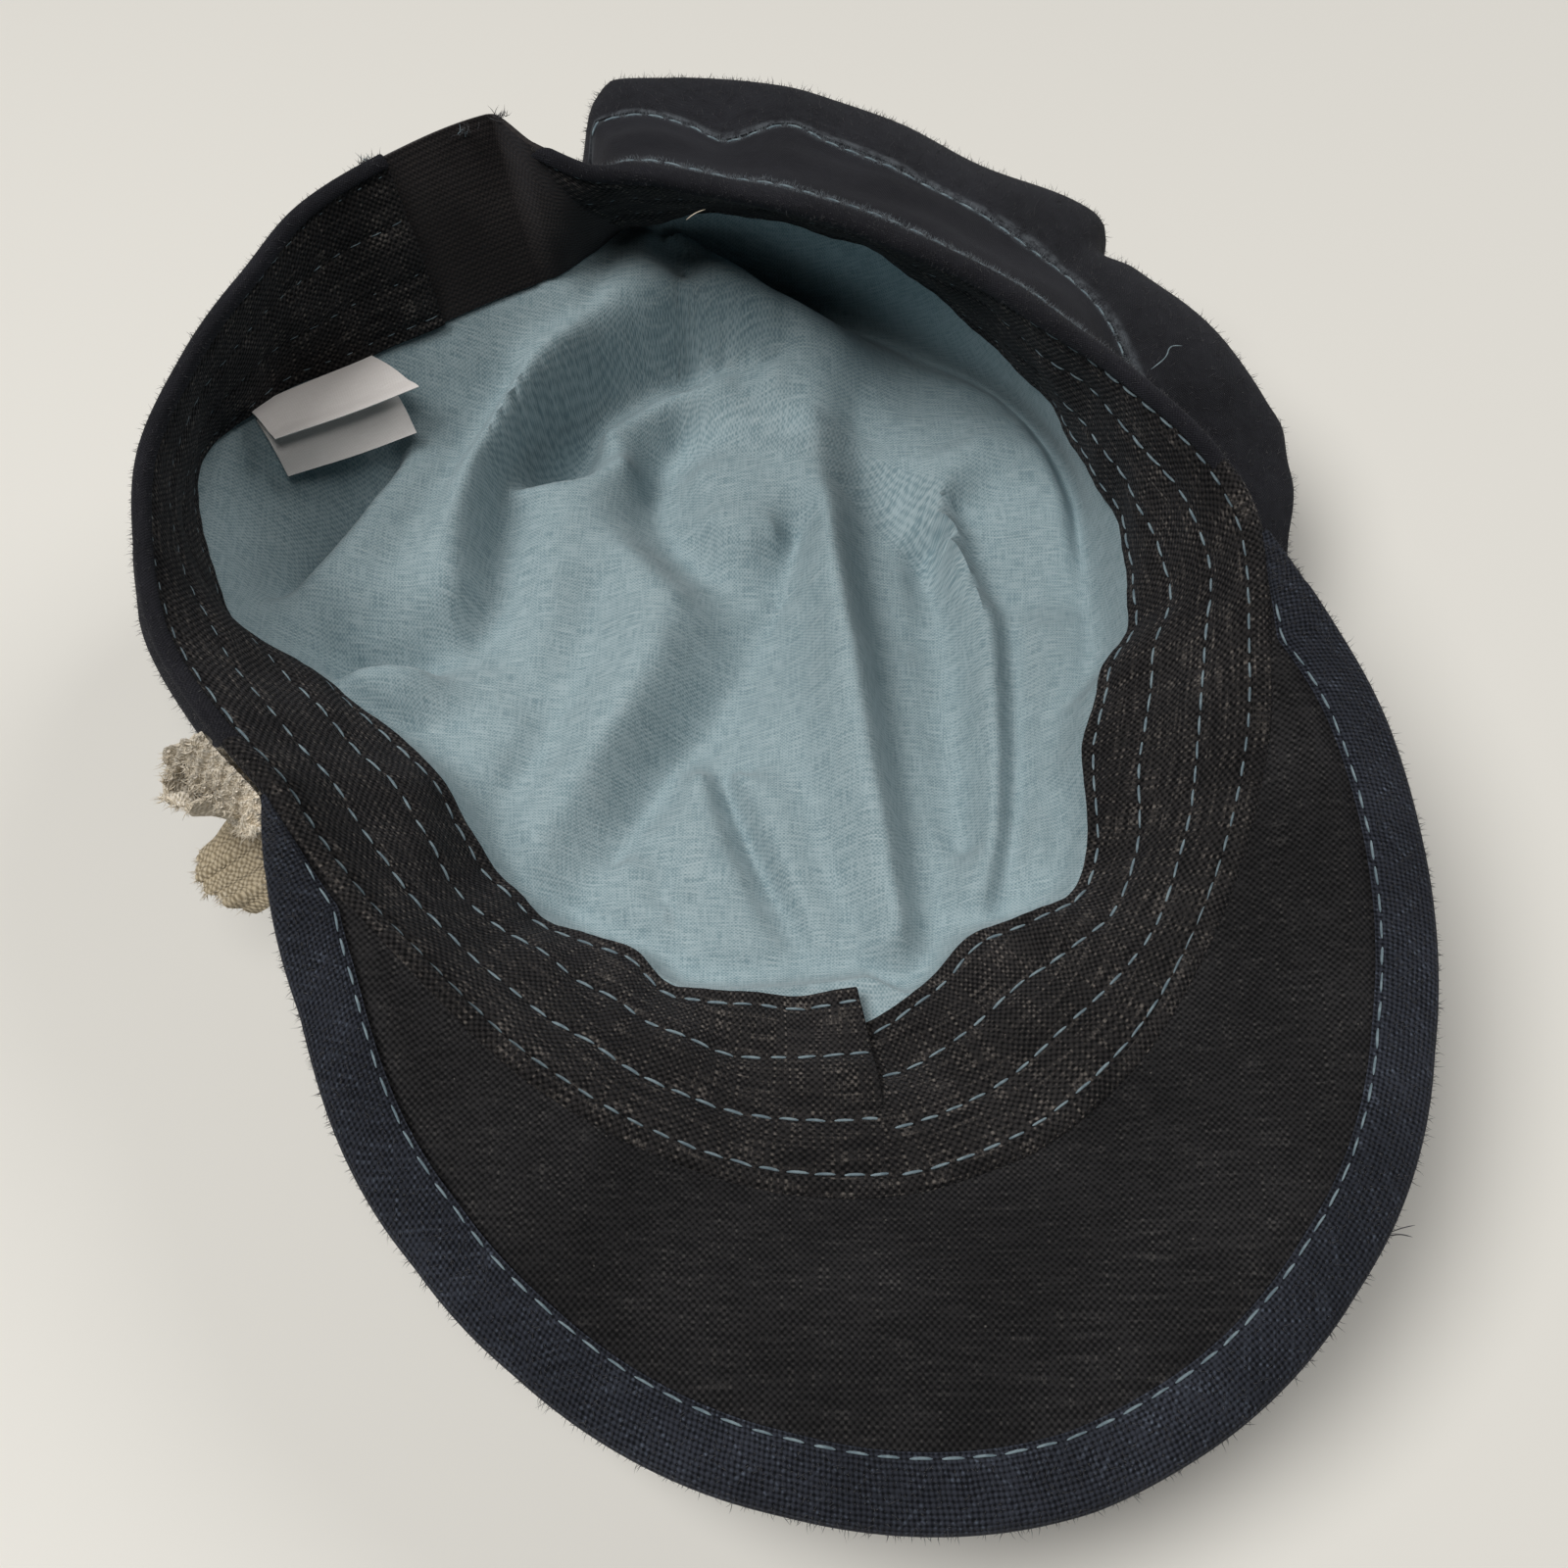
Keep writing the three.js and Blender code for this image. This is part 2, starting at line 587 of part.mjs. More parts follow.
// Bias strip folded round the peak's edge: a U section with a leg on each face, carried along the edge
function peakBindingGeometry() {
  const middle = UNDERSIDE_CLOTH + SEAM_GAP - BINDING_HALF;
  const legShares = [1, 0.5, 0];
  const noseAngles = [45, 0, -45];
  const surface = (radius) =>
    Array.from({ length: PEAK_COLUMNS + 1 }, (_, i) => {
      const along = i / PEAK_COLUMNS;
      const length = peakPoint(along, 0).distanceTo(peakPoint(along, 1));
      const share = Math.min(HEM_WIDTH / length, PEAK_HEM_MOST);
      const onLeg = (back, height) => {
        const out = 1 - share * back;
        return peakPoint(along, out).addScaledVector(peakNormal(along, out), height);
      };
      const edge = peakPoint(along, 1);
      const up = peakNormal(along, 1);
      const away = edge.clone().sub(peakPoint(along, 1 - share)).normalize();
      const nose = noseAngles.map((angle) => {
        const bend = THREE.MathUtils.degToRad(angle);
        return edge
          .clone()
          .addScaledVector(away, radius * Math.cos(bend))
          .addScaledVector(up, middle + radius * Math.sin(bend));
      });
      const over = legShares.map((back) => onLeg(back, middle + radius));
      const under = legShares.map((back) => onLeg(back, middle - radius)).reverse();
      return [...over, ...nose, ...under];
    });
  return solidBetween(surface(BINDING_HALF), surface(BINDING_HALF + BINDING_CLOTH));
}

// One leaf of the label: a short satin strip, bowed between its sewn edge and its free edge
function labelGeometry(leaf) {
  const corner = (list) => new THREE.Vector3().fromArray(list);
  const points = pointGrid(LABEL_STEPS, LABEL_STEPS, (along, out) => {
    const sewn = corner(leaf.sewnLeft).lerp(corner(leaf.sewnRight), along);
    const free = corner(leaf.freeLeft).lerp(corner(leaf.freeRight), along);
    const bow = leaf.bow * Math.sin(Math.PI * out);
    return sewn.lerp(free, out).add(new THREE.Vector3(0, 0, bow));
  });
  return clothSheet(points, 0, LABEL_CLOTH);
}

// Where a rosette scrap is sewn on the outside of the band
function rosetteFoot(scrap) {
  const rim = place(scrap.bearing, rimRadius(scrap.bearing), rimHeight(scrap.bearing));
  const foot = rim.lerp(seamPoint(scrap.bearing), scrap.foot);
  return foot.addScaledVector(place(scrap.bearing, 1, 0), BAND_CLOTH + ROSETTE_CLOTH + SEAM_GAP);
}

// Rosette scrap that stands on edge along the band's slope and rolls up at its end
function rosetteCurlGeometry() {
  const bend = THREE.MathUtils.degToRad(CURL.bend);
  const length = CURL.straight + CURL.radius * bend;
  const ahead = place(CURL.heading, 1, 0);
  const beside = place(CURL.heading + FULL_TURN / 4, 1, 0);
  const rim = place(CURL.bearing, rimRadius(CURL.bearing), rimHeight(CURL.bearing));
  const slope = rim.sub(seamPoint(CURL.bearing)).normalize();
  const points = pointGrid(2 * ROSETTE_STEPS, 2, (along, across) => {
    const travel = along * length;
    const turned = Math.max(0, travel - CURL.straight) / CURL.radius;
    return rosetteFoot(CURL)
      .addScaledVector(ahead, Math.min(travel, CURL.straight) + CURL.radius * Math.sin(turned))
      .addScaledVector(beside, CURL.radius * (1 - Math.cos(turned)))
      .addScaledVector(slope, CURL.width * (across - 0.5));
  });
  return clothSheet(points, -ROSETTE_CLOTH / 2, ROSETTE_CLOTH / 2);
}

// Rosette scrap that lies open as a rounded, drooping petal
function rosettePetalGeometry() {
  const ahead = place(PETAL.heading, 1, 0);
  const beside = place(PETAL.heading + 90, 1, 0);
  const points = pointGrid(ROSETTE_STEPS, ROSETTE_STEPS, (along, out) => {
    const side = 2 * along - 1;
    const halfWidth = (PETAL.width / 2) * Math.sin(Math.PI * (0.08 + 0.6 * out));
    const reach = PETAL.reach * out * (1 - 0.25 * side * side);
    return rosetteFoot(PETAL)
      .addScaledVector(ahead, reach)
      .addScaledVector(beside, halfWidth * side)
      .add(new THREE.Vector3(0, 0, -PETAL.droop * (out * out + 0.4 * side * side * out)));
  });
  return clothSheet(points, -ROSETTE_CLOTH / 2, ROSETTE_CLOTH / 2);
}

// The assembled cap
const cap = new THREE.Group();
function addPiece(name, geometry, cloth) {
  const piece = new THREE.Mesh(geometry, cloth);
  piece.name = name;
  cap.add(piece);
}

addPiece("crown", crownGeometry(), CLOTHS.navy);
addPiece("lining", liningGeometry(), CLOTHS.teal);
addPiece("band", bandGeometry(), CLOTHS.navy);
addPiece("sweatband", sweatbandGeometry(), CLOTHS.black);
addPiece("elastic", elasticGeometry(), CLOTHS.elastic);
addPiece("peak_cover", peakCoverGeometry(), CLOTHS.navy);
addPiece("peak_underside", peakUndersideGeometry(), CLOTHS.black);
addPiece("peak_binding", peakBindingGeometry(), CLOTHS.bias);
LABELS.forEach((leaf) => addPiece(leaf.name, labelGeometry(leaf), CLOTHS.satin));
addPiece("rosette_curl", rosetteCurlGeometry(), CLOTHS.linen);
addPiece("rosette_petal", rosettePetalGeometry(), CLOTHS.linen);

export default cap;
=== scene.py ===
"""Looks of a soft cadet cap that lies upside down on its crown, inside up, with its peak to the front.

Sizes are in millimetres and angles in degrees, and meshes are written in metres. A bearing of 0 is the
tip of the peak, towards -Y, and bearings grow towards +X.
"""

import logging
import math
from dataclasses import dataclass, field
from enum import Enum
from typing import Callable, Sequence

import bpy
import numpy as np
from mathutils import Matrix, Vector


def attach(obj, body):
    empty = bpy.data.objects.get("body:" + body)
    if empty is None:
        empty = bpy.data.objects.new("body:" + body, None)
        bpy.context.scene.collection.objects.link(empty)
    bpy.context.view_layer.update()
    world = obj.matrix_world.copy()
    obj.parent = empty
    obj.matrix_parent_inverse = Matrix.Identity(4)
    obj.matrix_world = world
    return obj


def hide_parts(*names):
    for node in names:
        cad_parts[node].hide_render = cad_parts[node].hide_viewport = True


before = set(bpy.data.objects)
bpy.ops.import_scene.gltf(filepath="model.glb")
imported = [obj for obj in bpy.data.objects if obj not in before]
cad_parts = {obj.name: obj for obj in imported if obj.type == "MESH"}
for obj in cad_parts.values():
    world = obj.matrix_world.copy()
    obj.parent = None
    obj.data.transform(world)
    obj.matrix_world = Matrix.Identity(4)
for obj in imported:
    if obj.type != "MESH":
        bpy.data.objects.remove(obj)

log = logging.getLogger("cadet_cap")

MM = 0.001
HALF_TURN = 180.0
FULL_TURN = 360.0

Values = np.ndarray
Points = np.ndarray
Surface = Callable[[Values, Values], Points]
Colour = tuple[float, float, float]

# Sections round the rim. The hem is the free lower edge of the sweatband.
RIM_ROWS = (
    # bearing, rim radius, rim height, hem radius, hem height
    (-173, 94, 76, 92, 46),
    (-170.5, 103, 78, 92, 46),
    (-159, 102, 79, 93, 46),
    (-148, 103, 78, 98, 45),
    (-137, 101, 76, 107, 46),
    (-127, 101, 74, 110, 44),
    (-117, 102, 71, 103, 41),
    (-107, 100, 68, 91, 38),
    (-98, 98, 64, 75, 36),
    (-86, 92, 60, 64, 31),
    (-77, 88, 56, 62, 26),
    (-60, 88, 46, 63, 20),
    (-40, 93, 36, 61, 19),
    (-31, 96, 32, 65, 20),
    (-16, 101, 27, 64, 20),
    (-3, 103, 25, 65, 20),
    (3, 103, 25, 70, 19),
    (15, 101, 27, 66, 20),
    (29, 96, 31, 72, 21),
    (43, 92, 38, 67, 23),
    (53, 90, 43, 62, 26),
    (63, 88, 48, 63, 29),
    (74, 87, 55, 70, 31),
    (82, 83, 61, 72, 32),
    (97, 74, 66, 76, 34),
    (114, 68, 69, 81, 37),
    (133, 67, 71, 86, 45),
    (150, 70, 72, 93, 50),
    (168, 76, 73, 100, 50),
    (175, 80, 74, 101, 47),
    (181, 84, 74, 96, 46),
)

# Sections down the crown: the seam under the headband, the widest place, and the foot on the floor.
CROWN_ROWS = (
    # bearing, seam radius, seam height, bulge radius, bulge height, foot radius
    (-171, 93, 45, 110, 34, 99),
    (-157, 94, 45, 112, 33, 100),
    (-142, 107, 43, 116, 33, 102),
    (-127, 113, 42, 123, 34, 105),
    (-114, 104, 38, 117, 30, 101),
    (-103, 86.5, 34, 103, 22, 93),
    (-92, 71, 30, 94, 18, 86),
    (-80, 66, 25, 93, 15, 85),
    (-65, 65, 20, 95, 12, 86),
    (-50, 66, 17, 96, 10, 87),
    (-25, 69, 16, 95, 9, 86),
    (0, 73, 16, 94, 8, 86),
    (25, 74, 16, 95, 9, 86),
    (45, 71, 19, 98, 11, 87),
    (62, 67, 25, 100, 16, 89),
    (76, 74, 29, 101, 22, 91),
    (84, 78, 33, 105, 29, 93),
    (90, 82, 36, 111, 30, 95),
    (98, 85, 41, 118, 31, 100),
    (113, 92, 48, 118, 36, 104),
    (121.5, 94, 52, 119, 39, 105),
    (123.5, 95, 53, 126, 39.5, 107),
    (127, 95, 53, 127, 40, 107),
    (138, 99, 56, 123, 46, 107),
    (148, 101, 58, 126, 50, 109),
    (158, 105, 61, 130, 54, 111),
    (168, 107, 61, 134, 56, 112),
    (173.5, 109, 60, 134.5, 57, 111),
    (176, 107, 58, 129, 55, 110),
    (178.5, 103, 54, 117, 50, 107),
    (182, 97, 49, 108, 42, 103),
)

# How the lining leaves the hem: how far it bellies out under it, and how steeply it falls to the floor.
LINING_ROWS = (
    # bearing, belly, fall
    (-175, 0, 1.3),
    (-165, -1, 2),
    (-150, -2, 2.6),
    (-125, -2, 2.6),
    (-108, 0, 3.2),
    (-80, 2, 5),
    (0, 2, 6),
    (60, 2, 6),
    (80, 5, 6),
    (95, 10, 7),
    (115, 22, 8),
    (135, 28, 9),
    (155, 28, 9),
    (168, 18, 6),
    (173, 6, 2.2),
    (178, 1, 1.2),
)

# The crown's seam as it waves round the back and the right, where it shows.
WAVY_SEAM_ROWS = (
    # bearing, seam radius, seam height
    (98, 84.5, 43),
    (102, 84.5, 49),
    (113, 88.5, 55),
    (123, 91.5, 56.5),
    (132, 94.5, 58),
    (139, 96, 59.5),
    (146, 99.5, 61),
    (152, 103.5, 61),
    (157, 107.5, 61.5),
    (164, 103, 61),
    (168, 108.5, 61.5),
    (173, 113, 62),
    (177, 113.5, 61),
    (179, 106, 56),
    (181.5, 97, 48.5),
)

# Pleats of the crown's side.
PLEAT_ROWS = (
    # bearing, half width, depth, lean
    (120, 4, 3, 4),
    (96, 4, 1.2, -4),
    (66, 8, 4, 5),
    (-66, 9, 4, -5),
    (-100, 7, 4, 6),
    (-140, 9, 3, -8),
)

# Crests, creases and slopes of the crumpled lining, each a line of places (x, y, z).
FOLD_LINES = {
    "left crease": (
        (-90.4, 40.9, 12), (-80.4, 48.4, 13), (-66.8, 59.2, 15), (-52.4, 71.7, 19), (-46.7, 79.8, 24),
    ),
    "broad face": (
        (-58.7, 47.7, 26.1), (-48, 57.9, 28.2), (-26.3, 77.5, 31.9),
    ),
    "broad crest": (
        (33, 82.4, 33.5), (23.1, 85.1, 34.4), (14.4, 85.9, 33.7), (2.9, 83.5, 33.3), (-5.8, 80.8, 33.1),
        (-18.7, 74.6, 33), (-29.5, 69, 32.5), (-35.4, 66.2, 32), (-40.8, 57.5, 29.8), (-44.8, 48.7, 26.7),
        (-48, 39, 24.5), (-51.8, 32.8, 19.5),
    ),
    "pocket floor": (
        (34, 79.2, 24.1), (22.1, 83.3, 23.7), (13.5, 84.6, 23.1), (2.5, 81.7, 22.8), (-7.5, 78.8, 22.5),
        (-18.1, 74.6, 21.6), (-25.8, 70.2, 20.5), (-32.1, 64.4, 18.3), (-37.8, 54.4, 16.2),
        (-43, 40.7, 15.4), (-48.9, 29.8, 14.8),
    ),
    "ridge tongue": (
        (9.8, 99.4, 47.5), (14.7, 97.7, 45), (20, 96.1, 42), (24.9, 93.6, 39), (29.8, 90.7, 36),
        (36, 83.3, 32.5), (41, 79.9, 29), (45.8, 74.8, 25),
    ),
    "pouch lip": (
        (-82.6, 23.8, 25), (-74.1, 22.7, 27), (-69.4, 22.1, 28), (-65, 21.5, 28), (-60, 20.3, 26.5),
        (-56.8, 20.2, 22),
    ),
    "pouch back": (
        (-73.3, 27.7, 14.5), (-68.6, 27.1, 15.5), (-64.2, 26.5, 15.5), (-59.2, 25.3, 14),
    ),
    "left apron": (
        (-75.1, 10, 22.7), (-64.3, 10.2, 21.6), (-55.5, 9.3, 20), (-66.2, -6.4, 22.3), (-58.5, -9.7, 19.6),
        (-45.1, 7, 18),
    ),
    "apron valley": (
        (-21.7, 35.7, 15.2), (-27.3, 25.2, 14.6), (-33.5, 13.6, 14.7), (-43.6, 1.4, 15.2),
        (-54.3, -9.8, 17.4),
    ),
    "left crest": (
        (-13.6, 40.6, 18.7), (-8.3, 25, 19.1), (-14.3, 14.7, 20.3), (-23.7, 3.8, 20.8),
        (-34.2, -5.9, 20.2), (-43.9, -15.3, 19.4), (-51.1, -23.2, 19.9),
    ),
    "long valley": (
        (12.8, 23.2, 7.9), (2.2, 12, 6.3), (-9.9, 2.4, 5.8), (-19.8, -5.6, 6.4), (-28.6, -14.7, 8.5),
        (-35.9, -23.8, 11.3),
    ),
    "main hollow": (
        (21, 36.3, 11.6), (13.4, 23.9, 9.4), (6.3, 10.4, 8.4), (-1.4, -2.2, 8.5), (-6.9, -12.6, 9.1),
    ),
    "front crease": (
        (-10.6, -8.2, 7.4), (-11.3, -15.4, 7.9), (-11.2, -22.6, 8.5), (-10.8, -29.7, 9),
        (-10.5, -37, 10.1), (-10, -48.9, 12.3), (-9.9, -60.3, 15.6),
    ),
    "front crease left": (
        (-15.7, -11.6, 12.5), (-16.3, -20.9, 13.1), (-16.4, -30.4, 13.6), (-16.2, -39.3, 14.1),
        (-15.7, -50, 15.1),
    ),
    "front crease right": (
        (-9.2, -13.7, 12), (-9.6, -26, 13.1), (-9.3, -34.7, 13.5), (-9.1, -42.5, 14), (-7.7, -53.3, 15.1),
    ),
    "front pleat": (
        (-27.1, -21.4, 12.9), (-29.9, -36.3, 14.6), (-32.1, -49.8, 16.7),
    ),
    "front pleat crest": (
        (-34.5, -26.5, 15.1), (-35.5, -37.2, 16.2), (-35.6, -44.9, 17.3), (-23.6, -30.2, 14.7),
        (-24.8, -44.9, 15.7), (-25.7, -53.1, 16.8),
    ),
    "main crest": (
        (34, 60.6, 20.3), (30.2, 47.4, 21.4), (26.1, 32.4, 22.3), (23.2, 19.3, 23), (21, 8.3, 23),
        (19.9, 0.5, 22.5), (17.1, -11.5, 21.9), (15.2, -19.7, 21.4), (13, -29.7, 20.8),
        (10.5, -40.5, 20.1), (7.4, -52.6, 19.5), (4.2, -64.4, 19.4),
    ),
    "main foot": (
        (45, 63.9, 11.9), (40.6, 50.4, 11.8), (36.4, 37.4, 11.4), (32.5, 25.2, 10.9), (29.3, 16, 10.4),
        (27.6, 7.7, 9.8), (24.2, -4.6, 9.3), (22, -13.7, 9.3), (19.4, -24.7, 9.3), (16.5, -36.4, 9.8),
        (13.1, -48.9, 10.9), (10.5, -58.2, 12.6),
    ),
    "main face": (
        (16.3, 16.2, 15.8), (10.9, 1.2, 14.7), (5.6, -11.1, 14.2), (1.1, -25.4, 13.6), (-0.7, -40, 13.5),
        (-0.8, -53, 14.5),
    ),
    "dome": (
        (29.8, 73.7, 23.8), (37.9, 71.4, 21.9), (23.5, 68.6, 17.8), (27.2, 60, 18.8),
    ),
    "crescent": (
        (6.9, 70.7, 11.2), (0.7, 66.9, 9.7), (-3.4, 59.6, 9.4), (-4.7, 49.8, 9.7), (-2.1, 39.2, 10),
        (3.9, 28.5, 10.2), (11.1, 22, 9.1),
    ),
    "knoll": (
        (7.3, 56.9, 17.3), (10.8, 49.1, 18.2), (4.1, 43.9, 17.1), (9.8, 36, 17.3), (16.4, 36.5, 17.3),
    ),
    "cross ridge": (
        (-31.3, 62.8, 19.7), (-23.9, 61.9, 20.3), (-16, 59.9, 20.5), (-6.9, 62.4, 19.9),
    ),
    "cross back": (
        (-8.2, 72.3, 19.5), (5.9, 75.4, 20.3), (20, 77.7, 20.7),
    ),
    "pinch": (
        (-31.6, 58.2, 15.7), (-32.1, 49.2, 16.5),
    ),
    "left dale": (
        (-28.5, 46.4, 18.3), (-32.4, 33.1, 16.8), (-38.9, 20.2, 16.8),
    ),
    "right panel": (
        (45.2, 39.4, 9), (38.4, 20.1, 8), (32, 1.6, 7.4), (26.7, -16.5, 7.4), (22.1, -32, 8.5),
        (17.8, -47.3, 10.8),
    ),
    "right rise": (
        (49.3, 27.4, 7.8), (43.3, 8.1, 7.3), (37.5, -10.5, 7.3), (31, -27.9, 7.8), (25.5, -42.5, 8.9),
    ),
    "right crest": (
        (58.5, 42, 16.5), (51.9, 32.7, 16), (48.7, 17.5, 16.1), (48.7, 8.6, 16.1), (48.9, -0.1, 16.1),
        (44, -12, 16.1), (39, -24.7, 16.1), (34.7, -34.6, 16), (28, -47.7, 16), (20.6, -59.1, 17),
    ),
    "right foot": (
        (55.8, 33.6, 11.2), (53.3, 19.6, 11.2), (53.5, 11.7, 10.7), (53.9, 2, 10.7), (49, -9.7, 10.7),
        (43.7, -22.5, 10.7), (39.1, -33, 11.2), (31.7, -46.8, 12.3), (23, -59.6, 14.5),
    ),
    "right strip": (
        (57.8, -3.2, 14.7), (50.5, -21.1, 15.3), (43.5, -38, 16.4), (34.5, -53.3, 18),
    ),
    "arch": (
        (62.1, 43.4, 16.2), (67.4, 45.1, 17.4), (73.6, 44.1, 17.9), (78.3, 39.3, 17.3), (77.1, 26.7, 16.3),
        (73.6, 11.9, 15.2),
    ),
    "arch floor": (
        (65.4, 37.2, 12.8), (69.2, 32.9, 12.8), (65.6, 17.5, 12.4),
    ),
    "right valley": (
        (81.6, 37.4, 12.7), (79.4, 21, 12.3), (74.4, 2.7, 12.9), (69.9, -9.8, 14.1),
    ),
    "back slope": (
        (57.9, 62.4, 11.9), (57.5, 50.4, 11.6), (72.3, 58.6, 15), (79.2, 48.8, 17.3), (67.3, 68.6, 14.8),
    ),
    "left crease lip": (
        (-88.5, 38, 23), (-78.5, 45.5, 25), (-65, 56.3, 27), (-50.5, 68.9, 29), (-44.8, 77, 30),
    ),
    "left panel edge": (
        (-93.4, 45.6, 17), (-83.4, 53.1, 18), (-69.8, 63.9, 20), (-55.4, 76.4, 23), (-49.7, 84.5, 27),
    ),
    "back panel": (
        (9.5, 97.8, 46.8), (4.9, 93.8, 44.5), (-5.2, 89.2, 41.5), (-14.8, 85.8, 39),
    ),
    "tongue slope": (
        (12.4, 96.2, 43), (15.4, 94.4, 39.5), (16.8, 92.5, 36.5),
    ),
    "pouch rise": (
        (-73.1, 33.7, 19), (-68.4, 33.1, 20), (-64, 32.5, 20), (-59, 31.3, 18.5),
    ),
}


def mix(start: Values, end: Values, share: Values) -> Values:
    """A value at a share of the way from start to end."""
    return start + (end - start) * share


def ramp(value: Values, low: float, high: float) -> Values:
    """A smooth rise from 0 at low to 1 at high."""
    share = np.clip((value - low) / (high - low), 0.0, 1.0)
    return share * share * (3.0 - 2.0 * share)


def bell(offset: Values, width: float) -> Values:
    """A soft bump of height 1 about an offset of 0."""
    return np.exp(-((offset / width) ** 2))


def cubic(start: Values, leave: Values, arrive: Values, end: Values, share: Values) -> Values:
    """A value on a cubic curve from start to end, drawn by two handles between them."""
    rest = 1 - share
    return start * rest**3 + 3 * leave * share * rest**2 + 3 * arrive * share**2 * rest + end * share**3


def turned_from(middle: float, bearing: Values) -> Values:
    """How far bearings lie from another one, within half a turn either way."""
    return np.mod(bearing - middle + HALF_TURN, FULL_TURN) - HALF_TURN


def unit(vectors: Points) -> Points:
    """The same directions at length 1."""
    return vectors / np.maximum(np.linalg.norm(vectors, axis=-1, keepdims=True), 1e-9)


def place(bearing: Values, radius: Values, height: Values) -> Points:
    """The points at bearings, radii from the middle and heights."""
    angle = np.radians(bearing)
    return np.stack([radius * np.sin(angle), -radius * np.cos(angle), height + 0.0 * angle], axis=-1)


def surface_normals(surface: Surface, along: Values, across: Values) -> Points:
    """The directions that a surface's grid faces.

    Args:
        surface: Gives points from shares along and across.
        along: Shares along the surface.
        across: Shares across it.

    Returns:
        Unit directions, one for each pair of shares.
    """
    step = 0.002
    beside = surface(along + step, across) - surface(along - step, across)
    ahead = surface(along, across + step) - surface(along, across - step)
    return unit(np.cross(beside, ahead))


class Around:
    """A smooth closed curve of one value round the cap, with no overshoot between its rows."""

    def __init__(self, bearings: Values, values: Values) -> None:
        """Keeps the rows with two more at each end, so that the curve closes."""
        self.bearings = np.concatenate([bearings[-2:] - FULL_TURN, bearings, bearings[:2] + FULL_TURN])
        self.values = np.concatenate([values[-2:], values, values[:2]])
        rise = np.diff(self.values) / np.diff(self.bearings)
        before = rise[:-1]
        after = rise[1:]
        same_way = before * after > 0
        total = np.where(same_way, before + after, 1.0)
        self.slopes = np.zeros_like(self.values)
        self.slopes[1:-1] = np.where(same_way, 2.0 * before * after / total, 0.0)

    def __call__(self, bearing: Values) -> Values:
        """The values at bearings."""
        first = self.bearings[1]
        turned = first + np.mod(np.asarray(bearing, float) - first, FULL_TURN)
        row = np.clip(np.searchsorted(self.bearings, turned, side="right") - 1, 1, len(self.bearings) - 3)
        span = self.bearings[row + 1] - self.bearings[row]
        share = (turned - self.bearings[row]) / span
        start = self.values[row]
        change = self.values[row + 1] - start
        leave = share * (1 - share) ** 2 * span * self.slopes[row]
        arrive = share**2 * (share - 1) * span * self.slopes[row + 1]
        return start + change * share * share * (3 - 2 * share) + leave + arrive


def round_cap(rows: Sequence[Sequence[float]], column: int) -> Around:
    """The closed curve of one column of a table of bearings."""
    data = np.array(rows, float)
    return Around(data[:, 0], data[:, column])


class Ripple:
    """Soft unevenness of cloth: a few seeded waves added together."""

    def __init__(self, seed: int, longest: float, height: float, count: int = 7) -> None:
        """Draws the waves, from the longest down to a third of it."""
        draw = np.random.default_rng(seed)
        self.lengths = longest * draw.uniform(0.33, 1.0, count)
        self.headings = draw.uniform(0.0, 2.0 * np.pi, count)
        self.phases = draw.uniform(0.0, 2.0 * np.pi, count)
        self.height = height / math.sqrt(count)

    def __call__(self, x: Values, y: Values) -> Values:
        """The rise at places in millimetres."""
        total = np.zeros(np.broadcast(x, y).shape)
        for length, heading, phase in zip(self.lengths, self.headings, self.phases):
            travel = x * math.cos(heading) + y * math.sin(heading)
            total = total + np.sin(2.0 * np.pi * travel / length + phase)
        return self.height * total


class HeadOpening:
    """The closed lines of the cap that its cloths hang from."""

    def __init__(self) -> None:
        """Reads the section tables."""
        self.rim_radius = round_cap(RIM_ROWS, 1)
        self.rim_height = round_cap(RIM_ROWS, 2)
        self.hem_radius = round_cap(RIM_ROWS, 3)
        self.hem_height = round_cap(RIM_ROWS, 4)
        waving = WAVY_SEAM_ROWS[0][0]
        seam_rows = tuple(row[:3] for row in CROWN_ROWS if row[0] < waving) + WAVY_SEAM_ROWS
        self.seam_radius = round_cap(seam_rows, 1)
        self.seam_height = round_cap(seam_rows, 2)

    def rim(self, bearing: Values) -> Points:
        """Points of the rim, where the two headbands are sewn together."""
        return place(bearing, self.rim_radius(bearing), self.rim_height(bearing))

    def hem(self, bearing: Values) -> Points:
        """Points of the sweatband's free lower edge."""
        return place(bearing, self.hem_radius(bearing), self.hem_height(bearing))

    def seam(self, bearing: Values) -> Points:
        """Points of the seam between the outer headband and the crown."""
        return place(bearing, self.seam_radius(bearing), self.seam_height(bearing))

    def along(self, bearing: Values) -> Points:
        """Short steps along the rim."""
        return self.rim(bearing + 0.5) - self.rim(bearing - 0.5)

    def inward(self, bearing: Values) -> Points:
        """The directions that the sweatband's plain wall faces."""
        return unit(np.cross(self.along(bearing), self.hem(bearing) - self.rim(bearing)))

    def past(
        self, bearing: Values, edge_radius: Around, edge_height: Around, stand: float = 0.0
    ) -> tuple[Values, Values]:
        """Where a cloth starts that is sewn on just past a headband's lower edge.

        Args:
            bearing: Bearings round the cap.
            edge_radius: The edge's radius.
            edge_height: The edge's height.
            stand: How far out from the headband's wall.

        Returns:
            Radii and heights.
        """
        radius = edge_radius(bearing)
        height = edge_height(bearing)
        run = radius - self.rim_radius(bearing)
        drop = height - self.rim_height(bearing)
        length = np.hypot(run, drop)
        past_radius = radius - drop / length * stand + run / length * 2 * SEAM_GAP
        past_height = height + run / length * stand + drop / length * 2 * SEAM_GAP
        return past_radius, past_height


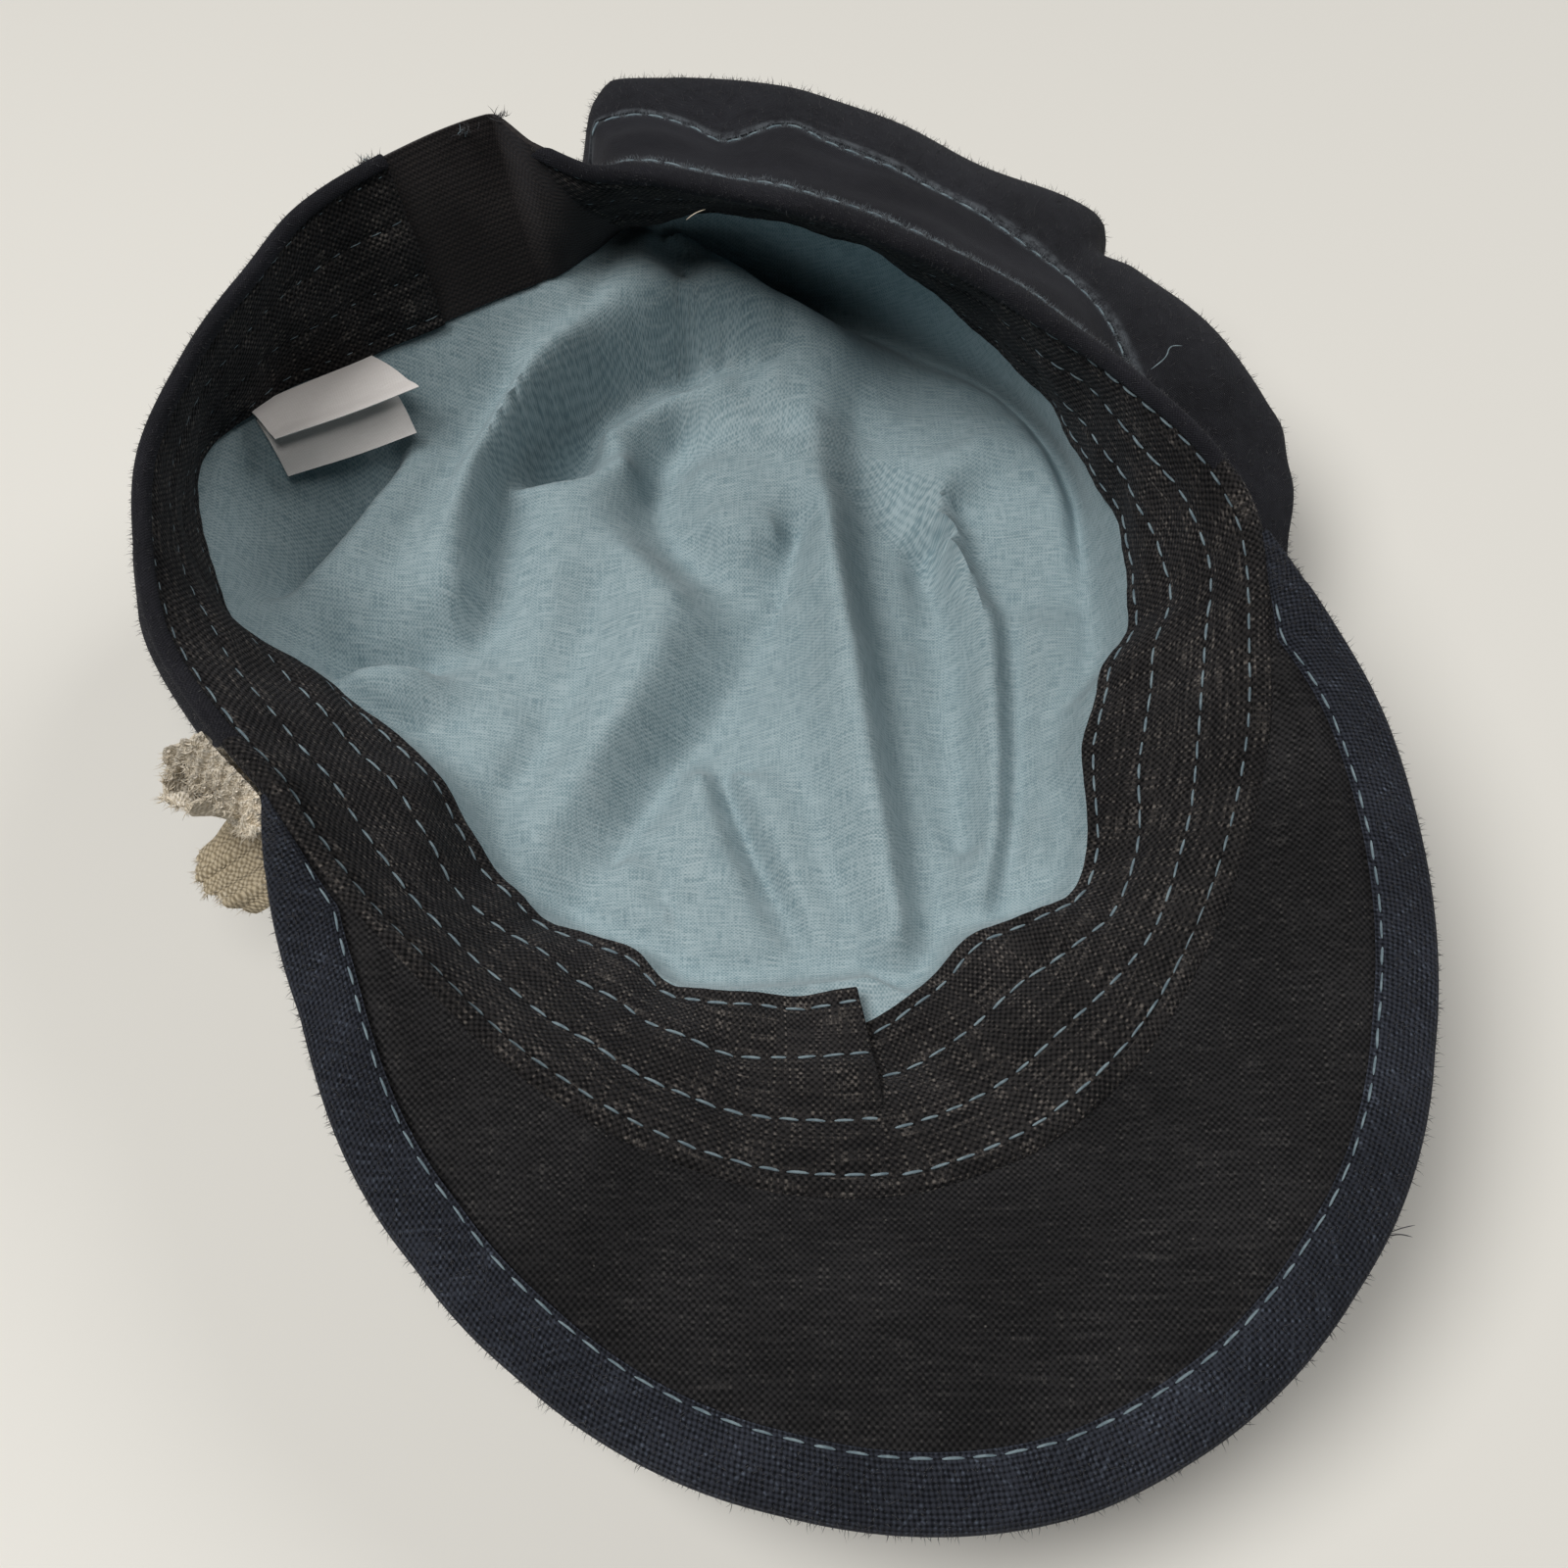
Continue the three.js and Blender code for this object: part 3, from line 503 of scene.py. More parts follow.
# The elastic's two seams, how far its right seam and the outer band's end lean, and the gaps at seams.
ELASTIC_LEFT = -158.0
ELASTIC_RIGHT = 187.0
ELASTIC_SLANT = 11.0
OUTER_SLANT = 8.0
END_GAP = 0.3
SEAM_GAP = 0.35

# Radii that turn a bearing into a length along the headbands and along the crown.
BAND_RADIUS = 90.0
CROWN_RADIUS = 105.0


def band_start(across: Values) -> Values:
    """The bearing where both headbands begin, at the left seam of the elastic."""
    return ELASTIC_LEFT + END_GAP + 0.0 * across


def band_end(across: Values) -> Values:
    """The bearing where both headbands end, at shares of the way from the rim down."""
    return ELASTIC_RIGHT - END_GAP - ELASTIC_SLANT * across


def outer_end(across: Values) -> Values:
    """The bearing where the outer headband's folded end stands, a little past the sweatband's."""
    return ELASTIC_RIGHT - END_GAP - OUTER_SLANT * across


def activate(piece: bpy.types.Object) -> None:
    """Selects one piece alone and makes it the active one."""
    bpy.ops.object.select_all(action="DESELECT")
    piece.select_set(True)
    bpy.context.view_layer.objects.active = piece


def edit_mesh(piece: bpy.types.Object, operation: Callable, **options: float) -> None:
    """Runs one mesh operation on all of a piece."""
    activate(piece)
    bpy.ops.object.mode_set(mode="EDIT")
    bpy.ops.mesh.select_all(action="SELECT")
    operation(**options)
    bpy.ops.object.mode_set(mode="OBJECT")


def mesh_points(piece: bpy.types.Object) -> Points:
    """A piece's own points, in metres."""
    flat = np.empty(len(piece.data.vertices) * 3)
    piece.data.vertices.foreach_get("co", flat)
    return flat.reshape(-1, 3)


def set_mesh_points(piece: bpy.types.Object, points: Points) -> None:
    """Moves a piece's points to places in millimetres."""
    piece.data.vertices.foreach_set("co", (points * MM).ravel())
    piece.data.update()


def cloth_grid(
    name: str, columns: int, rows: int, surface: Surface, flip: bool = False
) -> bpy.types.Object:
    """A fine grid laid over a surface, with a UV map in metres that follows the cloth.

    Args:
        name: The piece's name.
        columns: Faces along the surface.
        rows: Faces across it.
        surface: Gives points in millimetres from shares along and across.
        flip: Whether the faces are turned round to point out.

    Returns:
        The new piece.
    """
    bpy.ops.object.select_all(action="DESELECT")
    bpy.ops.mesh.primitive_grid_add(x_subdivisions=columns, y_subdivisions=rows, size=1.0)
    cloth = bpy.context.active_object
    cloth.name = name
    cloth.data.name = name
    shares = np.clip(mesh_points(cloth)[:, :2] + 0.5, 0.0, 1.0)
    set_mesh_points(cloth, surface(shares[:, 0], shares[:, 1]))
    along, across = np.meshgrid(np.linspace(0, 1, columns + 1), np.linspace(0, 1, rows + 1), indexing="ij")
    points = surface(along.ravel(), across.ravel()).reshape(columns + 1, rows + 1, 3)
    steps_along = np.linalg.norm(np.diff(points, axis=0), axis=-1).mean(axis=1)
    steps_across = np.linalg.norm(np.diff(points, axis=1), axis=-1)
    lengths = np.concatenate([[0.0], np.cumsum(steps_along)])
    widths = np.concatenate([np.zeros((columns + 1, 1)), np.cumsum(steps_across, axis=1)], axis=1)
    column = np.rint(shares[:, 0] * columns).astype(int)
    row = np.rint(shares[:, 1] * rows).astype(int)
    lay_flat(cloth, np.stack([lengths[column], widths[column, row]], axis=-1))
    if flip:
        edit_mesh(cloth, bpy.ops.mesh.flip_normals)
    return cloth


def lay_flat(cloth: bpy.types.Object, places: Values) -> None:
    """Sets where each point lies when the cloth is flat, in millimetres, as the UV map in metres."""
    corners = np.empty(len(cloth.data.loops), int)
    cloth.data.loops.foreach_get("vertex_index", corners)
    cloth.data.uv_layers.active.data.foreach_set("uv", (places[corners] * MM).ravel())


def paint(piece: bpy.types.Object, name: str, values: Values) -> None:
    """Keeps one value for each point of a piece, for its material to read."""
    layer = piece.data.attributes.new(name, "FLOAT", "POINT")
    layer.data.foreach_set("value", np.asarray(values, np.float32))


def grid_shares(cloth: bpy.types.Object, columns: int, rows: int) -> tuple[Values, Values]:
    """The shares along and across a new grid for each of its points, in the grid's own order."""
    number = np.arange(len(cloth.data.vertices))
    return (number % (columns + 1)) / columns, (number // (columns + 1)) / rows


ROUNDED_ANGLE = 60.0
SMOOTH_ANGLE = 65.0


def thicken(cloth: bpy.types.Object, thickness: float, rounding: float = 0.0) -> None:
    """Gives a grid the thickness of its cloth, behind its face, and rounds its edges.

    Args:
        cloth: The piece.
        thickness: Millimetres of cloth.
        rounding: Millimetres of rounding at its edges, or 0 for none.
    """
    activate(cloth)
    bpy.ops.object.modifier_add(type="SOLIDIFY")
    wall = cloth.modifiers[-1]
    wall.thickness = thickness * MM
    wall.offset = -1.0
    bpy.ops.object.modifier_apply(modifier=wall.name)
    if rounding > 0.0:
        bpy.ops.object.modifier_add(type="BEVEL")
        edge = cloth.modifiers[-1]
        edge.width = rounding * MM
        edge.segments = 2
        edge.limit_method = "ANGLE"
        edge.angle_limit = math.radians(ROUNDED_ANGLE)
        bpy.ops.object.modifier_apply(modifier=edge.name)
    bpy.ops.object.shade_smooth_by_angle(angle=math.radians(SMOOTH_ANGLE))


def mesh_piece(name: str, points: Points, faces: Values) -> bpy.types.Object:
    """A piece made of many small copies of one shape.

    Args:
        name: The piece's name.
        points: Places in millimetres.
        faces: Point numbers of each face, three or four to a row.

    Returns:
        The new piece, shaded smooth.
    """
    mesh = bpy.data.meshes.new(name)
    mesh.from_pydata((points * MM).tolist(), [], faces.tolist())
    mesh.update()
    mesh.shade_smooth()
    piece = bpy.data.objects.new(name, mesh)
    bpy.context.scene.collection.objects.link(piece)
    return piece


def finish_piece(
    piece: bpy.types.Object, material: bpy.types.Material, slot: str, nodes: Sequence[str] = ()
) -> None:
    """Dresses a piece, lets it ride on the cap and hides the nodes that it replaces.

    Args:
        piece: The finished piece.
        material: What it is made of.
        slot: Not used.
        nodes: The nodes that it replaces.
    """
    piece.data.materials.clear()
    piece.data.materials.append(material)
    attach(piece, "root")
    if nodes:
        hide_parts(*nodes)
    log.info("%s: %d faces", piece.name, len(piece.data.polygons))


def sew_piece(
    name: str, steps: tuple[int, int], surface: Surface, cloth: float,
    finish: tuple[bpy.types.Material, str], nodes: Sequence[str] = (),
    flip: bool = False, rounding: float = 0.0,
) -> None:
    """Builds and dresses one piece of cloth.

    Args:
        name: The piece's name.
        steps: Faces along and across it.
        surface: Gives points in millimetres from shares along and across.
        cloth: Millimetres of cloth.
        finish: What it is made of, and a material slot name.
        nodes: The nodes that it replaces.
        flip: Whether the faces are turned round to point out.
        rounding: Millimetres of rounding at its edges, or 0 for none.
    """
    piece = cloth_grid(name, *steps, surface, flip)
    thicken(piece, cloth, rounding)
    finish_piece(piece, *finish, nodes)


def srgb(red: float, green: float, blue: float) -> Colour:
    """A linear colour from screen values of 0 to 255."""
    screen = np.array([red, green, blue]) / 255.0
    linear = np.where(screen <= 0.04045, screen / 12.92, ((screen + 0.055) / 1.055) ** 2.4)
    return tuple(float(value) for value in linear)


class NodeWriter:
    """Adds nodes to a tree and joins them."""

    def __init__(self, tree: bpy.types.NodeTree) -> None:
        """Keeps the tree."""
        self.tree = tree

    def fill(self, made: bpy.types.Node, inputs: dict) -> None:
        """Joins a socket to each named input of a node, or sets its value."""
        for key, value in inputs.items():
            socket = made.inputs[key]
            if isinstance(value, bpy.types.NodeSocket):
                self.tree.links.new(value, socket)
            else:
                socket.default_value = value

    def node(self, kind: str, inputs: dict, **settings) -> bpy.types.Node:
        """A new node.

        Args:
            kind: Its type.
            inputs: A socket to join or a value to set, for each of its inputs.
            settings: Its own options.

        Returns:
            The node.
        """
        made = self.tree.nodes.new(kind)
        for name, value in settings.items():
            setattr(made, name, value)
        self.fill(made, inputs)
        return made

    def math(self, operation: str, first, second=0.0) -> bpy.types.NodeSocket:
        """The result of one sum."""
        return self.node("ShaderNodeMath", {0: first, 1: second}, operation=operation).outputs[0]

    def vector(self, operation: str, first, second) -> bpy.types.NodeSocket:
        """The result of one vector sum."""
        return self.node("ShaderNodeVectorMath", {0: first, 1: second}, operation=operation).outputs[0]

    def scaled(self, vector, factor) -> bpy.types.NodeSocket:
        """A vector or colour times a number."""
        inputs = {0: vector, "Scale": factor}
        return self.node("ShaderNodeVectorMath", inputs, operation="SCALE").outputs[0]

    def about_half(self, value, gain: float) -> bpy.types.NodeSocket:
        """A value about 0 as one about a half."""
        inputs = {0: value, 1: gain, 2: 0.5}
        return self.node("ShaderNodeMath", inputs, operation="MULTIPLY_ADD").outputs[0]

    def mixed(self, share, low, high) -> bpy.types.NodeSocket:
        """A number mixed from two others."""
        return self.node("ShaderNodeMix", {0: share, 2: low, 3: high}).outputs[0]

    def spread(
        self, value, low: float, high: float, start: float = 0.0, end: float = 1.0
    ) -> bpy.types.NodeSocket:
        """A value eased from start at low to end at high."""
        inputs = {"Value": value, "From Min": low, "From Max": high, "To Min": start, "To Max": end}
        return self.node("ShaderNodeMapRange", inputs, interpolation_type="SMOOTHSTEP").outputs[0]

    def blend(self, share, low, high) -> bpy.types.NodeSocket:
        """A colour mixed from two others."""
        inputs = {0: share, 6: low, 7: high}
        return self.node("ShaderNodeMix", inputs, data_type="RGBA").outputs[2]

    def noise(self, vector, scale: float, detail: float = 2.0) -> bpy.types.Node:
        """A noise texture."""
        return self.node("ShaderNodeTexNoise", {"Vector": vector, "Scale": scale, "Detail": detail})

    def bump(self, height, strength: float, distance: float) -> bpy.types.NodeSocket:
        """The normals of a fine relief, its depth in millimetres."""
        inputs = {"Strength": strength, "Distance": distance * MM, "Height": height}
        return self.node("ShaderNodeBump", inputs).outputs[0]


def new_material(name: str) -> tuple[bpy.types.Material, NodeWriter, bpy.types.Node]:
    """A new material, a writer for its tree and its shader."""
    made = bpy.data.materials.new(name)
    made.use_nodes = True
    return made, NodeWriter(made.node_tree), made.node_tree.nodes["Principled BSDF"]


def opaque(colour: Colour) -> tuple[float, ...]:
    """A colour with its full strength added."""
    return (*colour, 1.0)


def new_group(
    name: str, inputs: dict[str, str], outputs: dict[str, str]
) -> tuple[NodeWriter, dict, bpy.types.Node]:
    """An empty shader node group with named sockets.

    Args:
        name: The group's name.
        inputs: Its inputs' names and kinds.
        outputs: Its outputs' names and kinds.

    Returns:
        A writer for its tree, its input sockets by name, and its output node.
    """
    tree = bpy.data.node_groups.new(name, "ShaderNodeTree")
    for label, kind in inputs.items():
        tree.interface.new_socket(name=label, in_out="INPUT", socket_type="NodeSocket" + kind)
    for label, kind in outputs.items():
        tree.interface.new_socket(name=label, in_out="OUTPUT", socket_type="NodeSocket" + kind)
    start = tree.nodes.new("NodeGroupInput")
    end = tree.nodes.new("NodeGroupOutput")
    return NodeWriter(tree), {label: start.outputs[label] for label in inputs}, end


class Effects:
    """Effects that several cloths share, each a node group built once."""

    def __init__(self) -> None:
        """Builds the groups."""
        self.weave = self.weave_group()
        self.lint = self.lint_group()
        self.wear = self.wear_group()

    @staticmethod
    def weave_group() -> bpy.types.NodeTree:
        """A plain weave: its relief, the holes between its threads and the streaks of its uneven yarn."""
        numbers = ("Period", "Turn", "Unevenness", "Regularity")
        inputs = {"Vector": "Vector", **{name: "Float" for name in numbers}}
        outputs = {"Height": "Float", "Hole": "Float", "Streak": "Float"}
        write, given, end = new_group("plain_weave", inputs, outputs)
        turn = {"Vector": given["Vector"], "Angle": given["Turn"]}
        turned = write.node("ShaderNodeVectorRotate", turn, rotation_type="Z_AXIS").outputs[0]
        threads = write.scaled(turned, write.math("DIVIDE", 1.0, given["Period"]))
        wander = write.noise(threads, 0.35, 1.0).outputs[1]
        centred = write.vector("SUBTRACT", wander, (0.5, 0.5, 0.5))
        moved = write.vector("ADD", threads, write.scaled(centred, given["Unevenness"]))
        places = write.node("ShaderNodeSeparateXYZ", {0: moved}).outputs
        warp, weft = (
            write.math("SINE", write.math("MULTIPLY", places[axis], 2.0 * math.pi)) for axis in (0, 1)
        )
        regular = write.about_half(write.math("MULTIPLY", warp, weft), 0.5)
        gap_warp, gap_weft = (
            write.math("SUBTRACT", 1.0, write.math("ABSOLUTE", wave)) for wave in (warp, weft)
        )
        yarn_along, yarn_across = (
            write.noise(write.vector("MULTIPLY", threads, stretch), 1.0, 1.0).outputs[0]
            for stretch in ((0.16, 2.0, 1.0), (2.0, 0.16, 1.0))
        )
        loose = write.about_half(write.math("SUBTRACT", yarn_along, yarn_across), 1.8)
        height = write.mixed(given["Regularity"], loose, regular)
        hole = write.math("MULTIPLY", gap_warp, gap_weft)
        streak = write.mixed(height, yarn_along, yarn_across)
        write.fill(end, {"Height": height, "Hole": hole, "Streak": streak})
        return write.tree

    @staticmethod
    def lint_group() -> bpy.types.NodeTree:
        """Scattered specks of lint."""
        inputs = {"Vector": "Vector", "Scale": "Float", "Amount": "Float"}
        write, given, end = new_group("lint_specks", inputs, {"Mask": "Float"})
        curl = write.noise(given["Vector"], 900.0).outputs[1]
        bent = write.vector("ADD", given["Vector"], write.vector("MULTIPLY", curl, (0.0006, 0.0006, 0.0006)))
        cells = write.node("ShaderNodeTexVoronoi", {"Vector": bent, "Scale": given["Scale"]})
        speck = write.spread(cells.outputs["Distance"], 0.10, 0.02)
        chance = write.node("ShaderNodeSeparateColor", {0: cells.outputs["Color"]}).outputs[0]
        kept = write.math("LESS_THAN", chance, given["Amount"])
        write.fill(end, {"Mask": write.math("MULTIPLY", speck, kept)})
        return write.tree

    @staticmethod
    def wear_group() -> bpy.types.NodeTree:
        """Where a worn edge has gone pale, broken up along the threads."""
        inputs = {"Vector": "Vector", "Wear": "Float"}
        write, given, end = new_group("worn_edge", inputs, {"Mask": "Float"})
        coarse = write.noise(given["Vector"], 350.0, 3.0).outputs[0]
        fine = write.noise(given["Vector"], 1800.0, 2.0).outputs[0]
        broken = write.math("MULTIPLY", coarse, write.math("ADD", fine, 0.4))
        shown = write.math("MULTIPLY", given["Wear"], write.spread(broken, 0.22, 0.62))
        write.fill(end, {"Mask": shown})
        return write.tree


class Lay(Enum):
    """What a weave follows."""

    CLOTH = "UV"
    PLAN = "Object"


@dataclass(frozen=True)
class ClothFinish:
    """One woven finish: its colours, its weave and how it takes light."""

    name: str
    thread: Colour
    hollow: Colour
    fleck: Colour
    worn: Colour
    period: float
    turn: float = 0.0
    lay: Lay = Lay.CLOTH
    unevenness: float = 0.5
    regularity: float = 0.75
    relief: float = 0.16
    fleck_low: float = 0.5
    fleck_high: float = 0.8
    hole: float = 0.4
    roughness: float = 0.9
    gloss: float = 0.12
    sheen: float = 0.2
    sheen_tint: Colour = (0.8, 0.85, 1.0)
    lint: float = 0.0
    lint_colour: Colour = (0.3, 0.3, 0.3)
    patch: float = 0.25
    clouds_per_metre: float = 45.0
    specks_per_metre: float = 420.0
    naps_per_metre: float = 2600.0

    def material(self, effects: Effects) -> bpy.types.Material:
        """Builds the material from the shared effects.

        Args:
            effects: The node groups.

        Returns:
            The material.
        """
        made, write, shader = new_material(self.name)
        where = write.node("ShaderNodeTexCoord", {}).outputs[self.lay.value]
        threads = {
            "Vector": where, "Period": self.period * MM, "Turn": math.radians(self.turn),
            "Unevenness": self.unevenness, "Regularity": self.regularity,
        }
        weave = write.node("ShaderNodeGroup", threads, node_tree=effects.weave).outputs
        lit = write.spread(weave["Height"], 0.1, 0.8)
        colour = write.blend(lit, opaque(self.hollow), opaque(self.thread))
        flecked = write.spread(weave["Streak"], self.fleck_low, self.fleck_high)
        colour = write.blend(write.math("MULTIPLY", flecked, lit), colour, opaque(self.fleck))
        open_hole = write.math("MULTIPLY", write.spread(weave["Hole"], 0.45, 0.95), self.hole)
        colour = write.blend(open_hole, colour, opaque(tuple(0.35 * part for part in self.hollow)))
        cloud = write.noise(where, self.clouds_per_metre, 3.0).outputs[0]
        colour = write.scaled(colour, write.spread(cloud, 0.3, 0.75, 1.0 - self.patch, 1.0 + self.patch))
        worn = write.node("ShaderNodeAttribute", {}, attribute_name="wear").outputs["Fac"]
        wear = write.node("ShaderNodeGroup", {"Vector": where, "Wear": worn}, node_tree=effects.wear).outputs
        colour = write.blend(wear["Mask"], colour, opaque(self.worn))
        if self.lint > 0.0:
            specks = {"Vector": where, "Scale": self.specks_per_metre, "Amount": self.lint}
            lint = write.node("ShaderNodeGroup", specks, node_tree=effects.lint).outputs
            colour = write.blend(lint["Mask"], colour, opaque(self.lint_colour))
        nap = write.noise(where, self.naps_per_metre, 2.0).outputs[0]
        height = write.math("ADD", weave["Height"], write.math("MULTIPLY", nap, 0.6))
        height = write.math("SUBTRACT", height, write.math("MULTIPLY", open_hole, 0.8))
        write.fill(shader, {
            "Base Color": colour,
            "Normal": write.bump(height, 1.0, self.relief),
            "Roughness": self.roughness,
            "Specular IOR Level": self.gloss,
            "Sheen Weight": self.sheen,
            "Sheen Roughness": 0.5,
            "Sheen Tint": opaque(self.sheen_tint),
        })
        return made


@dataclass(frozen=True)
class ThreadFinish:
    """Sewing thread, loose fibres and other plain yarn."""

    name: str
    colour: Colour
    shade: Colour
    roughness: float = 0.7
    sheen: float = 0.2
    relief: float = 0.08
    mottles_per_metre: float = 700.0
    twists_per_metre: float = 4000.0

    def material(self) -> bpy.types.Material:
        """Builds the material: two colours mixed along the yarn."""
        made, write, shader = new_material(self.name)
        where = write.node("ShaderNodeTexCoord", {}).outputs["Object"]
        mottle = write.noise(where, self.mottles_per_metre, 2.0).outputs[0]
        twist = write.noise(where, self.twists_per_metre, 1.0).outputs[0]
        write.fill(shader, {
            "Base Color": write.blend(
                write.spread(mottle, 0.35, 0.65), opaque(self.shade), opaque(self.colour)
            ),
            "Normal": write.bump(twist, 0.6, self.relief),
            "Roughness": self.roughness,
            "Sheen Weight": self.sheen,
        })
        return made


class Wardrobe:
    """Every finish of the cap, built once."""

    def __init__(self) -> None:
        """Builds the materials."""
        effects = Effects()
        self.navy = ClothFinish(
            "navy_cotton", srgb(37, 37, 42), srgb(21, 21, 25), srgb(50, 50, 56), srgb(104, 110, 116),
            period=0.6, relief=0.12, lint=0.05, lint_colour=srgb(84, 86, 90), sheen=0.04,
        ).material(effects)
        self.black = ClothFinish(
            "black_weave", srgb(50, 48, 48), srgb(9, 9, 10), srgb(118, 112, 107), srgb(80, 80, 84),
            period=1.25, relief=0.34, hole=0.9, fleck_low=0.49, fleck_high=0.74, lint=0.08, regularity=0.7,
            lint_colour=srgb(110, 104, 98), sheen=0.04,
        ).material(effects)
        self.underside = ClothFinish(
            "underside_weave", srgb(45, 44, 45), srgb(14, 14, 15), srgb(78, 76, 75), srgb(80, 80, 84),
            period=1.1, turn=20.0, lay=Lay.PLAN, relief=0.26, hole=0.9, lint=0.1, regularity=0.75,
            lint_colour=srgb(98, 95, 92), sheen=0.05,
        ).material(effects)
        self.bias = ClothFinish(
            "bias_binding", srgb(52, 55, 64), srgb(14, 16, 21), srgb(92, 100, 114), srgb(96, 104, 116),
            period=1.1, turn=45.0, relief=0.24, hole=0.8, lint=0.04, lint_colour=srgb(96, 98, 102),
            sheen=0.06,
        ).material(effects)
        self.teal = ClothFinish(
            "teal_lining",
            srgb(166, 184, 190), srgb(124, 147, 155), srgb(192, 205, 208), srgb(178, 192, 194),
            period=0.66, turn=20.0, relief=0.08, hole=0.15, fleck_low=0.5, fleck_high=0.8, unevenness=0.6,
            regularity=0.5, sheen=0.15, sheen_tint=(1.0, 1.0, 1.0), patch=0.03, roughness=0.85,
        ).material(effects)
        self.elastic = ClothFinish(
            "elastic_knit", srgb(56, 52, 51), srgb(38, 35, 35), srgb(70, 64, 60), srgb(80, 76, 74),
            period=1.0, relief=0.1, hole=0.2, sheen=0.1,
        ).material(effects)
        self.linen = ClothFinish(
            "beige_linen",
            srgb(244, 235, 220), srgb(206, 195, 174), srgb(252, 248, 240), srgb(246, 240, 230),
            period=0.9, relief=0.2, hole=0.1, unevenness=0.9, sheen=0.1, sheen_tint=(1.0, 0.95, 0.85),
        ).material(effects)
        self.satin = ClothFinish(
            "white_satin",
            srgb(238, 234, 231), srgb(222, 216, 213), srgb(248, 246, 244), srgb(246, 242, 240),
            period=0.36, relief=0.03, hole=0.0, roughness=0.32, gloss=0.6, sheen=0.0, patch=0.03,
        ).material(effects)
        self.thread = ThreadFinish("pale_thread", srgb(126, 144, 152), srgb(96, 114, 124)).material()
        self.fuzz = ThreadFinish("dark_fuzz", srgb(42, 42, 48), srgb(28, 28, 34)).material()
        self.pale_fuzz = ThreadFinish("pale_fuzz", srgb(112, 122, 130), srgb(80, 88, 96)).material()
        self.tan_hair = ThreadFinish("tan_hair", srgb(168, 140, 108), srgb(140, 112, 84)).material()
        # The petal's linen: the beige linen painted darker, as painted shade for the shadow that the petal
        # lies in.
        self.shade_painted_linen = ClothFinish(
            "shade_painted_linen",
            srgb(196, 182, 156), srgb(132, 119, 96), srgb(222, 211, 190), srgb(230, 222, 208),
            period=1.0, relief=0.34, hole=0.5, unevenness=1.2, sheen=0.1, sheen_tint=(1.0, 0.95, 0.85),
        ).material(effects)
        self.linen_yarn = ThreadFinish("linen_yarn", srgb(236, 226, 208), srgb(206, 194, 172)).material()


class TuckSide(Enum):
    """The two parts of the sweatband that overlap at the front tuck."""

    LEFT = "left"
    RIGHT = "right"


